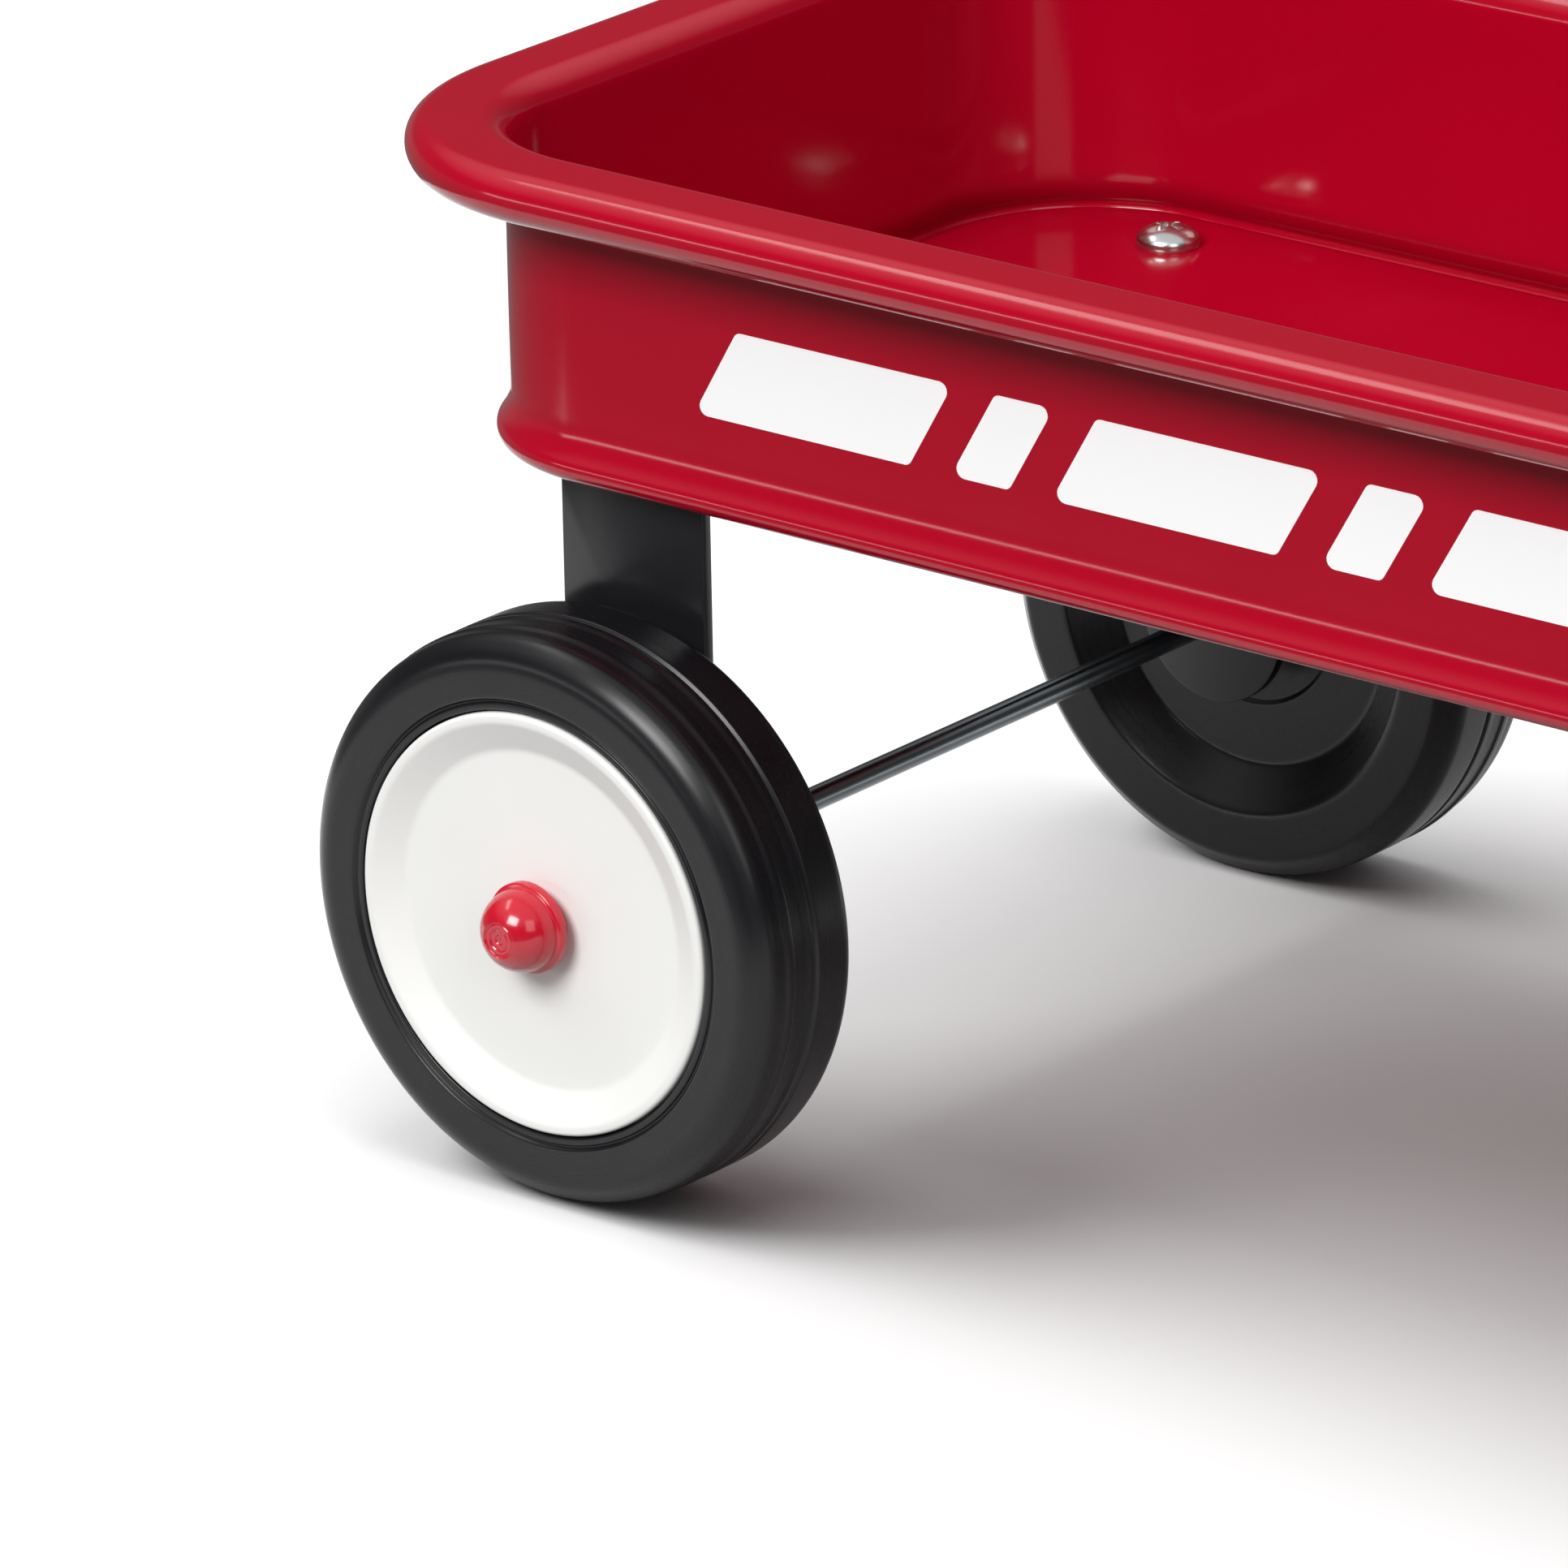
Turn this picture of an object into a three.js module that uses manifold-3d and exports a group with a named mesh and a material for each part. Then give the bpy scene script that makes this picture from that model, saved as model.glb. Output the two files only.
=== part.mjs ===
// A doll-size pressed steel wagon: a red tray on two strap axle brackets, four wheels with white
// discs and red push-on caps, a front axle that steers on a kingpin, and a hinged pull handle.
// Millimetres, +X forwards towards the handle, +Y to the left, +Z up, standing on Z = 0.
// At rest the handle lies forwards with its grip on the ground.

import * as THREE from 'three';
import { mergeVertices } from 'three/addons/utils/BufferGeometryUtils.js';
import Module from 'manifold-3d';

const wasm = await Module();
wasm.setup();

// ---- Driving dimensions ----------------------------------------------------------------------

const GAP = 0.3;                  // left between pieces that touch

const WHEEL_RADIUS = 38;
const WHEEL_SIDES = 32;
const WHEEL_WIDTH = 19.6;
const DISC_RADIUS = 27.8;
const DISC_FLAT_RADIUS = 22.4;
const DISC_DISH = 2.1;            // how far the flat centre lies in from the disc's edge
const DISC_SHEET = 1.2;
const TRACK = 164.6;              // between the outer faces of two wheels
const AXLE_RADIUS = 1.6;
const AXLE_HOLE_RADIUS = 1.9;

const TRAY_LENGTH = 300;          // between the outer faces of the end walls
const TRAY_WIDTH = 128;
const TRAY_CORNER = 24.5;
const TRAY_SHEET = 1;
const TRAY_RISE = 52.6;           // underside of the bottom bead above the axles
const TRAY_HEIGHT = 42.85;        // from there to the top of the rim
const FLOOR_STEP = 1.65;          // how far the flat floor lies above the bead's underside
const BEAD_RADIUS = 1.9;          // bead around the tray's bottom edge
const BEAD_HEIGHT = 7;
const RIM_OVERHANG = 12.5;        // how far the rolled rim stands out from the wall
const RIM_BEND = 4;               // bend from the wall to the rim's flat top, on its inner face
const RIM_ROLL = 3.3;             // outer radius of the roll at the rim's edge
const RIM_LIP = 3.2;              // the curl's free edge, out from the wall

const REAR_AXLE_SETBACK = 30;     // axle in from the outer face of the rear wall
const KINGPIN_SETBACK = 34;       // kingpin in from the outer face of the front wall

const STRAP_WIDTH = 23;
const STRAP_SHEET = 1.9;
const STRAP_SPAN = 121.8;         // across the outer faces of a bracket's legs
const STRAP_BEND = 1.6;           // bend radius at the middle of the sheet

const SCREW_RADIUS = 2;
const SCREW_HEAD = { radius: 4.4, height: 2.6 };
const SCREW_NUT = { flats: 7, height: 2.8 };
const SCREW_STICKOUT = 1.2;       // screw end past its nut
const SCREW_SPACING = 100;        // between the two screws of the rear bracket
const PIVOT_SCREW_REACH = 20;     // pivot plate screws from the kingpin
const PIVOT_PLATE_RADIUS = 26;
const PIVOT_PLATE_SHEET = 1.8;
const PIVOT_BOSS_RADIUS = 13;
const PIVOT_BOSS_DROP = 5.65;
const BEARING_HEIGHT = 2.1;
const KINGPIN_RADIUS = 3;
const KINGPIN_HEAD = { radius: 6.5, height: 3 };
const KINGPIN_NUT = { flats: 10, height: 5 };

const TONGUE_REACH = 60;          // handle hinge ahead of the kingpin
const TONGUE_SHEET = 1.6;
const TONGUE_HALF_WIDTH = 7.8;    // to the middle of each cheek's sheet
const HINGE_DROP = 6.3;           // hinge below the underside of the tongue's web
const HINGE_PIN_RADIUS = 2;

const HANDLE_ROD_RADIUS = 3.2;
const HANDLE_REACH = 246;         // hinge to the middle of the grip's far bar
const GRIP_TUBE_RADIUS = 4;
const GRIP_LENGTH = 48;           // the loop, from its near end to its far bar
const GRIP_SOCKET = 16;           // how far the grip's socket reaches back over the shaft
const GRIP_RIVET_RADIUS = 1;

// ---- Heights and places that follow ----------------------------------------------------------

const AXLE_Z = WHEEL_RADIUS * Math.cos(Math.PI / WHEEL_SIDES);
const TRAY_Z = AXLE_Z + TRAY_RISE;
const RIM_TOP_Z = TRAY_Z + TRAY_HEIGHT;
const FLOOR_Z = TRAY_Z + FLOOR_STEP;
const FLOOR_TOP_Z = FLOOR_Z + TRAY_SHEET;
const REAR_AXLE_X = -TRAY_LENGTH / 2 + REAR_AXLE_SETBACK;
const KINGPIN_X = TRAY_LENGTH / 2 - KINGPIN_SETBACK;
const PIVOT_TOP_Z = FLOOR_Z - GAP;
const BOSS_UNDERSIDE_Z = PIVOT_TOP_Z - PIVOT_BOSS_DROP - PIVOT_PLATE_SHEET;
const YOKE_TOP_Z = BOSS_UNDERSIDE_Z - BEARING_HEIGHT - 2 * GAP;
const TONGUE_TOP_Z = YOKE_TOP_Z - STRAP_SHEET - GAP;
const TONGUE_UNDERSIDE_Z = TONGUE_TOP_Z - TONGUE_SHEET;
const HINGE_Z = TONGUE_UNDERSIDE_Z - HINGE_DROP;
const HANDLE_DIP = Math.asin((HINGE_Z - GRIP_TUBE_RADIUS) / HANDLE_REACH);

// ---- Materials -------------------------------------------------------------------------------

const paint = (color, roughness, metalness = 0) =>
  new THREE.MeshStandardMaterial({ color, roughness, metalness });

const RED_ENAMEL = paint(0xa60b24, 0.25);
const WHITE_ENAMEL = paint(0xf1f1ef, 0.35);
const BLACK_ENAMEL = paint(0x2a2a2c, 0.4);
const BLACK_WHEEL = paint(0x2f2f33, 0.55);
const BLACK_PLASTIC = paint(0x202022, 0.45);
const RED_PLASTIC = paint(0xc41d2f, 0.3);
const NATURAL_NYLON = paint(0xe4e0d4, 0.5);
const ZINC_STEEL = paint(0xc4c7c6, 0.3, 1);
const AXLE_STEEL = paint(0x77787c, 0.3, 1);

// ---- Geometry helpers ------------------------------------------------------------------------

function weld(geometry) {
  geometry.deleteAttribute('normal');
  geometry.deleteAttribute('uv');
  return mergeVertices(geometry, 1e-4);
}

function toSolid(geometry) {
  const welded = weld(geometry.clone());
  return new wasm.Manifold(new wasm.Mesh({
    numProp: 3,
    vertProperties: new Float32Array(welded.attributes.position.array),
    triVerts: new Uint32Array(welded.index.array),
  }));
}

function toGeometry(solid) {
  const mesh = solid.getMesh();
  const geometry = new THREE.BufferGeometry();
  geometry.setAttribute('position', new THREE.BufferAttribute(mesh.vertProperties, 3));
  geometry.setIndex(new THREE.BufferAttribute(mesh.triVerts, 1));
  return geometry;
}

const cut = (geometry, ...tools) =>
  toGeometry(tools.reduce((solid, tool) => solid.subtract(toSolid(tool)), toSolid(geometry)));

const join = (geometry, ...others) =>
  toGeometry(others.reduce((solid, other) => solid.add(toSolid(other)), toSolid(geometry)));

const overlap = (geometry, other) => toGeometry(toSolid(geometry).intersect(toSolid(other)));

// A turned piece about the Y axis: its outline is a closed list of [radius, along] pairs.
function turned(outline, sides, start = 0) {
  const points = outline.map(([radius, along]) => new THREE.Vector2(radius, along));
  const onAxis = outline[0][0] === 0;
  if (!onAxis) points.push(points[0].clone());
  return weld(new THREE.LatheGeometry(points, sides, start));
}

// The same about the Z axis, with its outline's second value as a height.
const turnedUpright = (outline, sides) => turned(outline, sides).rotateX(Math.PI / 2);

function rod(radius, from, to, sides = 16) {
  return turned([[0, from], [radius, from], [radius, to], [0, to]], sides);
}

const uprightRod = (radius, from, to, sides = 16) => rod(radius, from, to, sides).rotateX(Math.PI / 2);

function ringWasher(inner, outer, from, to, sides = 20) {
  return turned([[inner, from], [outer, from], [outer, to], [inner, to]], sides);
}

// A flat outline, in X and Z, made into a plate centred on Y = 0.
function plateAlongY(shape, thickness) {
  const options = { depth: thickness, bevelEnabled: false, curveSegments: 6 };
  const plate = new THREE.ExtrudeGeometry(shape, options);
  return plate.translate(0, 0, -thickness / 2).rotateX(Math.PI / 2);
}

// A flat outline, in Y and Z, made into a bar from one X to another.
function barAlongX(points, from, to) {
  const options = { depth: to - from, bevelEnabled: false };
  const bar = new THREE.ExtrudeGeometry(new THREE.Shape(points), options);
  return bar.rotateX(Math.PI / 2).rotateZ(Math.PI / 2).translate(from, 0, 0);
}

// Both faces of a bent sheet whose middle follows a line, as one closed outline.
function thicken(line, thickness) {
  const face = (sign) => line.map((point, i) => {
    const before = line[Math.max(i - 1, 0)];
    const after = line[Math.min(i + 1, line.length - 1)];
    const along = after.clone().sub(before).normalize();
    return new THREE.Vector2(-along.y, along.x).multiplyScalar(sign * thickness / 2).add(point);
  });
  return [...face(-1), ...face(1).reverse()];
}

// A skin over a run of rings that all have the same number of points, anticlockwise seen from
// the end that the run goes towards. An open run gets flat ends.
function loft(rings, closed = false) {
  const sides = rings[0].length;
  const points = rings.flat();
  const index = [];
  const at = (ring, side) => (ring % rings.length) * sides + (side % sides);
  for (let ring = 0; ring < rings.length - (closed ? 0 : 1); ring += 1) {
    for (let side = 0; side < sides; side += 1) {
      const [a, b] = [at(ring, side), at(ring, side + 1)];
      const [c, d] = [at(ring + 1, side + 1), at(ring + 1, side)];
      index.push(a, b, c, a, c, d);
    }
  }
  const middle = (ring) =>
    ring.reduce((sum, point) => sum.add(point), new THREE.Vector3()).divideScalar(sides);
  if (!closed) {
    points.push(middle(rings[0]), middle(rings.at(-1)));
    for (let side = 0; side < sides; side += 1) {
      index.push(points.length - 2, at(0, side + 1), at(0, side));
      index.push(points.length - 1, at(rings.length - 1, side), at(rings.length - 1, side + 1));
    }
  }
  return new THREE.BufferGeometry().setFromPoints(points).setIndex(index);
}

// ---- Tray ------------------------------------------------------------------------------------

// The middle of the sheet from the floor out through the bead, up the wall and around the rim,
// as distances outwards from the wall's outer face and heights.
function traySection() {
  const half = TRAY_SHEET / 2;
  const beadMiddle = TRAY_Z + BEAD_RADIUS;
  const [beadStart, beadTop] = [-120, 40].map(THREE.MathUtils.degToRad);
  const floorStart = -TRAY_CORNER + 4.5;
  const stepStart = -2.75;        // where the floor begins to drop to the bead
  const rimBend = RIM_BEND - half;
  const rimRoll = RIM_ROLL - half;
  const section = new THREE.Path();
  section.moveTo(floorStart, FLOOR_Z + half);
  section.lineTo(stepStart, FLOOR_Z + half);
  section.absarc(0, beadMiddle, BEAD_RADIUS - half, beadStart, beadTop);
  section.bezierCurveTo(0.4, beadMiddle + 1.8, -half, TRAY_Z + 5.4, -half, TRAY_Z + BEAD_HEIGHT);
  section.lineTo(-half, RIM_TOP_Z - RIM_BEND);
  section.absarc(rimBend - half, RIM_TOP_Z - RIM_BEND, rimBend, Math.PI, Math.PI / 2, true);
  section.absarc(RIM_OVERHANG - RIM_ROLL, RIM_TOP_Z - RIM_ROLL, rimRoll, Math.PI / 2, 0, true);
  section.absarc(RIM_OVERHANG - RIM_ROLL, RIM_TOP_Z - RIM_ROLL, rimRoll, 0, -Math.PI / 2, true);
  section.lineTo(RIM_LIP, RIM_TOP_Z - 2 * RIM_ROLL + half);
  return section.getPoints(2);
}

// The tray's rounded plan as corner centres, each with the directions that fan around it.
function trayPlan(cornerSteps) {
  const stations = [];
  const centreX = TRAY_LENGTH / 2 - TRAY_CORNER;
  const centreY = TRAY_WIDTH / 2 - TRAY_CORNER;
  for (let corner = 0; corner < 4; corner += 1) {
    const signX = corner === 0 || corner === 3 ? 1 : -1;
    const signY = corner < 2 ? 1 : -1;
    for (let step = 0; step <= cornerSteps; step += 1) {
      const angle = (corner + step / cornerSteps) * Math.PI / 2;
      stations.push({ x: signX * centreX, y: signY * centreY, angle });
    }
  }
  return stations;
}

function trayGeometry() {
  const plan = trayPlan(5);
  const rings = thicken(traySection(), TRAY_SHEET).map((point) => plan.map(({ x, y, angle }) => {
    const reach = TRAY_CORNER + point.x;
    return new THREE.Vector3(x + reach * Math.cos(angle), y + reach * Math.sin(angle), point.y);
  }));
  const hole = (x, y, radius) =>
    uprightRod(radius + GAP, FLOOR_Z - 1, FLOOR_TOP_Z + 1, 12).translate(x, y, 0);
  return cut(
    loft(rings),
    hole(REAR_AXLE_X, SCREW_SPACING / 2, SCREW_RADIUS),
    hole(REAR_AXLE_X, -SCREW_SPACING / 2, SCREW_RADIUS),
    hole(KINGPIN_X + PIVOT_SCREW_REACH, 0, SCREW_RADIUS),
    hole(KINGPIN_X - PIVOT_SCREW_REACH, 0, SCREW_RADIUS),
    hole(KINGPIN_X, 0, KINGPIN_RADIUS),
  );
}

// ---- Axle brackets ---------------------------------------------------------------------------

// A strap bent into a U over the axle, with rounded leg ends. Its axle runs along Y at X = 0.
function strapBracket(topZ, holes) {
  const legMiddle = (STRAP_SPAN - STRAP_SHEET) / 2;
  const webMiddle = topZ - STRAP_SHEET / 2;
  const halfWidth = STRAP_WIDTH / 2;
  const bend = new THREE.Path();
  bend.moveTo(legMiddle, AXLE_Z - halfWidth - 1);
  bend.absarc(legMiddle - STRAP_BEND, webMiddle - STRAP_BEND, STRAP_BEND, 0, Math.PI / 2);
  bend.absarc(STRAP_BEND - legMiddle, webMiddle - STRAP_BEND, STRAP_BEND, Math.PI / 2, Math.PI);
  bend.lineTo(-legMiddle, AXLE_Z - halfWidth - 1);
  const strap = barAlongX(thicken(bend.getPoints(2), STRAP_SHEET), -halfWidth, halfWidth);
  const side = new THREE.Shape();
  side.moveTo(halfWidth, topZ + 1);
  side.lineTo(-halfWidth, topZ + 1);
  side.absarc(0, AXLE_Z, halfWidth, Math.PI, 2 * Math.PI);
  const axleHole = rod(AXLE_HOLE_RADIUS, -TRACK, TRACK, 12).translate(0, 0, AXLE_Z);
  return cut(overlap(strap, plateAlongY(side, TRACK)), axleHole, ...holes);
}

function rearBracketGeometry() {
  const topZ = FLOOR_Z - GAP;
  const hole = uprightRod(SCREW_RADIUS + GAP, topZ - 4, topZ + 1, 12);
  const holes = [1, -1].map((side) => hole.clone().translate(0, side * SCREW_SPACING / 2, 0));
  return strapBracket(topZ, holes);
}

const RIVET_REACH = 8.7;
const RIVET_RADIUS = 1.4;

// The holes that the kingpin and the tongue's rivets need through the yoke and the tongue.
function pivotHoles() {
  const hole = (radius, x) =>
    uprightRod(radius + GAP, TONGUE_UNDERSIDE_Z - 1, YOKE_TOP_Z + 1, 12).translate(x, 0, 0);
  return [hole(KINGPIN_RADIUS, 0), hole(RIVET_RADIUS, RIVET_REACH), hole(RIVET_RADIUS, -RIVET_REACH)];
}

// ---- Fasteners -------------------------------------------------------------------------------

// A truss-head screw pointing down, with the underside of its head at headZ.
function screwGeometry(radius, head, headZ, tipZ) {
  return turnedUpright([
    [0, tipZ], [radius, tipZ], [radius, headZ], [head.radius, headZ],
    [head.radius, headZ + 0.25 * head.height], [0.75 * head.radius, headZ + 0.72 * head.height],
    [0.4 * head.radius, headZ + head.height], [0, headZ + head.height],
  ], 14);
}

function nutGeometry(radius, { flats, height }, topZ) {
  const hexagon = uprightRod(flats / Math.sqrt(3), topZ - height, topZ, 6);
  return cut(hexagon, uprightRod(radius + GAP, topZ - height - 1, topZ + 1, 12));
}

// The end of a screw that passes its nut, whose top is at nutTop.
const tipBelow = (nutTop, nut) => nutTop - nut.height - SCREW_STICKOUT;

function rivetGeometry() {
  const headRadius = 2.5;
  const headHeight = 1.1;
  const topZ = YOKE_TOP_Z + GAP;
  const bottomZ = TONGUE_UNDERSIDE_Z - GAP;
  return turnedUpright([
    [0, bottomZ - headHeight], [0.6 * headRadius, bottomZ - headHeight], [headRadius, bottomZ],
    [RIVET_RADIUS, bottomZ], [RIVET_RADIUS, topZ], [headRadius, topZ],
    [0.6 * headRadius, topZ + headHeight], [0, topZ + headHeight],
  ], 12);
}

// ---- Wheels and axles ------------------------------------------------------------------------

const HUB_END = 20;               // inner end of the hub, in from the wheel's outer face

// One moulded wheel whose outer face is at Y = 0, looking along +Y, with a recess for its disc.
function wheelGeometry() {
  const tread = WHEEL_RADIUS;
  const recessRadius = DISC_RADIUS + GAP;
  const outline = [
    [AXLE_HOLE_RADIUS, -4.2], [recessRadius, -4.2], [recessRadius, 0], [34.6, 0], [37, -1.4],
    [tread, -4.2], [tread, -15.5], [36.8, -18.4], [34.4, -WHEEL_WIDTH], [29, -WHEEL_WIDTH],
    [22.5, -14.8], [7, -14.8], [6, -HUB_END], [AXLE_HOLE_RADIUS, -HUB_END],
  ];
  return turned(outline.reverse(), WHEEL_SIDES, Math.PI / WHEEL_SIDES);
}

function discGeometry() {
  return turned([
    [AXLE_HOLE_RADIUS, -DISC_DISH - DISC_SHEET], [DISC_FLAT_RADIUS, -DISC_DISH - DISC_SHEET],
    [DISC_RADIUS, -DISC_SHEET], [DISC_RADIUS, 0],
    [DISC_FLAT_RADIUS, -DISC_DISH], [AXLE_HOLE_RADIUS, -DISC_DISH],
  ], WHEEL_SIDES, Math.PI / WHEEL_SIDES);
}

// A push-on cap: a hub against the disc, a flange and a domed nose, closed over the axle's end.
function capGeometry() {
  const base = GAP - DISC_DISH;
  return turned([
    [0, base + 4.6], [AXLE_HOLE_RADIUS, base + 4.6], [AXLE_HOLE_RADIUS, base], [4.6, base],
    [4.6, base + 1.6], [6, base + 1.6], [6, base + 3], [5.45, base + 3.2], [5.3, base + 4.4],
    [4.7, base + 6.2], [3.6, base + 7.5], [2.4, base + 8.2], [0, base + 8.2],
  ], 16);
}

function axleGeometry() {
  const reach = TRACK / 2 - DISC_DISH + 4;
  return rod(AXLE_RADIUS, -reach, reach, 12);
}

function axleWasherGeometry() {
  const inner = STRAP_SPAN / 2 + GAP;
  return ringWasher(AXLE_HOLE_RADIUS, 4.8, inner, inner + 0.8, 16);
}

// ---- Steering pivot and tongue ---------------------------------------------------------------

// A round plate under the floor whose middle is pressed down into a flat boss.
function pivotPlateGeometry() {
  const upper = PIVOT_TOP_Z;
  const lower = PIVOT_TOP_Z - PIVOT_PLATE_SHEET;
  const bore = KINGPIN_RADIUS + GAP;
  const plate = turnedUpright([
    [bore, BOSS_UNDERSIDE_Z], [PIVOT_BOSS_RADIUS, BOSS_UNDERSIDE_Z], [PIVOT_BOSS_RADIUS + 2, lower],
    [PIVOT_PLATE_RADIUS, lower], [PIVOT_PLATE_RADIUS, upper],
    [PIVOT_BOSS_RADIUS + 0.6, upper], [PIVOT_BOSS_RADIUS - 1.4, upper - PIVOT_BOSS_DROP],
    [bore, upper - PIVOT_BOSS_DROP],
  ], 24);
  const hole = uprightRod(SCREW_RADIUS + GAP, lower - 1, upper + 1, 12);
  return cut(plate, ...[1, -1].map((side) => hole.clone().translate(side * PIVOT_SCREW_REACH, 0, 0)));
}

// A channel under the yoke with two cheeks that hold the handle's hinge pin ahead of the tray.
// Its web stops short of the hinge, so that the raised handle leans on the web's front edge.
function tongueGeometry() {
  const rear = -13;
  const webFront = TONGUE_REACH - 2;
  const cheekRadius = 6;
  const shallowZ = TONGUE_TOP_Z - 7;
  const webMiddle = TONGUE_TOP_Z - TONGUE_SHEET / 2;
  const bend = new THREE.Path();
  bend.moveTo(TONGUE_HALF_WIDTH, HINGE_Z - cheekRadius - 2);
  bend.absarc(TONGUE_HALF_WIDTH - 1.4, webMiddle - 1.4, 1.4, 0, Math.PI / 2);
  bend.absarc(1.4 - TONGUE_HALF_WIDTH, webMiddle - 1.4, 1.4, Math.PI / 2, Math.PI);
  bend.lineTo(-TONGUE_HALF_WIDTH, HINGE_Z - cheekRadius - 2);
  const channel = barAlongX(thicken(bend.getPoints(2), TONGUE_SHEET), rear, TONGUE_REACH + 10);
  const side = new THREE.Shape();
  side.moveTo(rear, TONGUE_TOP_Z + 1);
  side.lineTo(rear, shallowZ);
  side.lineTo(20, shallowZ);
  side.lineTo(TONGUE_REACH - 8, HINGE_Z - cheekRadius);
  side.absarc(TONGUE_REACH, HINGE_Z, cheekRadius, -Math.PI / 2, 0);
  side.lineTo(webFront + 4, TONGUE_TOP_Z + 1);
  const slot = new THREE.BoxGeometry(20, 2 * TONGUE_HALF_WIDTH - TONGUE_SHEET, 2 * HINGE_DROP)
    .translate(webFront + 10, 0, TONGUE_TOP_Z - GAP);
  const pinHole = rod(HINGE_PIN_RADIUS + GAP, -20, 20, 12).translate(TONGUE_REACH, 0, HINGE_Z);
  const edges = overlap(channel, plateAlongY(side, 40));
  return cut(edges, slot, pinHole, ...pivotHoles());
}

// ---- Handle ----------------------------------------------------------------------------------

const CHEEK_OUTSIDE = TONGUE_HALF_WIDTH + TONGUE_SHEET / 2;
const SLEEVE_HALF = TONGUE_HALF_WIDTH - TONGUE_SHEET / 2 - 0.5;
const SHAFT_END = HANDLE_REACH - GRIP_LENGTH - 4;
const GRIP_RIVET_X = SHAFT_END - GRIP_SOCKET / 2;

function hingePinGeometry() {
  const head = CHEEK_OUTSIDE + GAP;
  return turned([
    [0, -head - 1.2], [3.2, -head - 1], [3.4, -head], [HINGE_PIN_RADIUS, -head],
    [HINGE_PIN_RADIUS, head + 2.4], [0, head + 2.4],
  ], 14);
}

function pinClipGeometry() {
  const inner = CHEEK_OUTSIDE + GAP;
  return ringWasher(HINGE_PIN_RADIUS + GAP, 4, inner, inner + 1, 14);
}

const gripRivetHole = () =>
  rod(GRIP_RIVET_RADIUS + GAP, -20, 20, 8).translate(GRIP_RIVET_X, 0, 0);

// The rod along X from the hinge sleeve, which turns on the hinge pin.
function handleShaftGeometry() {
  const shaft = rod(HANDLE_ROD_RADIUS, 0, SHAFT_END, 12).rotateZ(-Math.PI / 2);
  const sleeve = rod(4, -SLEEVE_HALF, SLEEVE_HALF, 16);
  const pinHole = rod(HINGE_PIN_RADIUS + GAP, -20, 20, 12);
  return cut(join(shaft, sleeve), pinHole, gripRivetHole());
}

// The grip's closed loop as a flat outline: a rounded triangle with its far bar across HANDLE_REACH.
function gripOutline() {
  const near = { x: HANDLE_REACH - GRIP_LENGTH + 7, radius: 7 };
  const far = { x: HANDLE_REACH - 9, y: 12, radius: 9 };
  const slope = Math.atan2(far.y, far.x - near.x);
  const spread = Math.hypot(far.y, far.x - near.x);
  const turn = slope + Math.acos((near.radius - far.radius) / spread);
  const outline = new THREE.Path();
  outline.absarc(far.x, -far.y, far.radius, -turn, 0);
  outline.absarc(far.x, far.y, far.radius, 0, turn);
  outline.absarc(near.x, 0, near.radius, turn, 2 * Math.PI - turn);
  outline.closePath();
  return outline;
}

function gripGeometry() {
  const steps = 26;
  const sides = 8;
  const middles = gripOutline().getSpacedPoints(steps).slice(0, steps);
  const rings = middles.map((middle, step) => {
    const along = middles[(step + 1) % steps].clone().sub(middles.at(step - 1)).normalize();
    return Array.from({ length: sides }, (_, side) => {
      const angle = 2 * Math.PI * side / sides;
      const across = GRIP_TUBE_RADIUS * Math.cos(angle);
      const up = GRIP_TUBE_RADIUS * Math.sin(angle);
      return new THREE.Vector3(middle.x - along.y * across, middle.y + along.x * across, up);
    });
  });
  const start = SHAFT_END - GRIP_SOCKET;
  const socket = turned([
    [0, start], [4.6, start], [5.2, SHAFT_END - 4], [7, SHAFT_END + 4], [0, SHAFT_END + 6],
  ], 14);
  const bore = rod(HANDLE_ROD_RADIUS + GAP, start - 1, SHAFT_END + GAP, 12);
  [socket, bore].forEach((geometry) => geometry.rotateZ(-Math.PI / 2));
  return cut(join(loft(rings, true), socket), bore, gripRivetHole());
}

function gripRivetGeometry() {
  const head = 5.3;
  return turned([
    [0, -head - 0.8], [1.4, -head - 0.7], [1.9, -head], [GRIP_RIVET_RADIUS, -head],
    [GRIP_RIVET_RADIUS, head], [1.9, head], [1.4, head + 0.7], [0, head + 0.8],
  ], 10).translate(GRIP_RIVET_X, 0, 0);
}

// ---- Assembly --------------------------------------------------------------------------------

function part(name, geometry, material) {
  const finished = geometry.index ? geometry : weld(geometry);
  finished.computeVertexNormals();
  const mesh = new THREE.Mesh(finished, material);
  mesh.name = name;
  return mesh;
}

const SIDES = [['left', 1], ['right', -1]];
const ENDS = [['front', 1], ['rear', -1]];

// An axle with its washers, wheels, discs and caps, about Y through the group's origin.
function wheelset(end) {
  const set = new THREE.Group();
  set.position.z = AXLE_Z;
  set.add(part(`${end}_axle`, axleGeometry(), AXLE_STEEL));
  for (const [side, sign] of SIDES) {
    const half = new THREE.Group();
    half.rotation.z = sign > 0 ? 0 : Math.PI;
    const outer = new THREE.Group();
    outer.position.y = TRACK / 2;
    outer.add(
      part(`${end}_${side}_wheel`, wheelGeometry(), BLACK_WHEEL),
      part(`${end}_${side}_wheel_disc`, discGeometry(), WHITE_ENAMEL),
      part(`${end}_${side}_axle_cap`, capGeometry(), RED_PLASTIC),
    );
    half.add(outer, part(`${end}_${side}_axle_washer`, axleWasherGeometry(), ZINC_STEEL));
    set.add(half);
  }
  return set;
}

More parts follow.
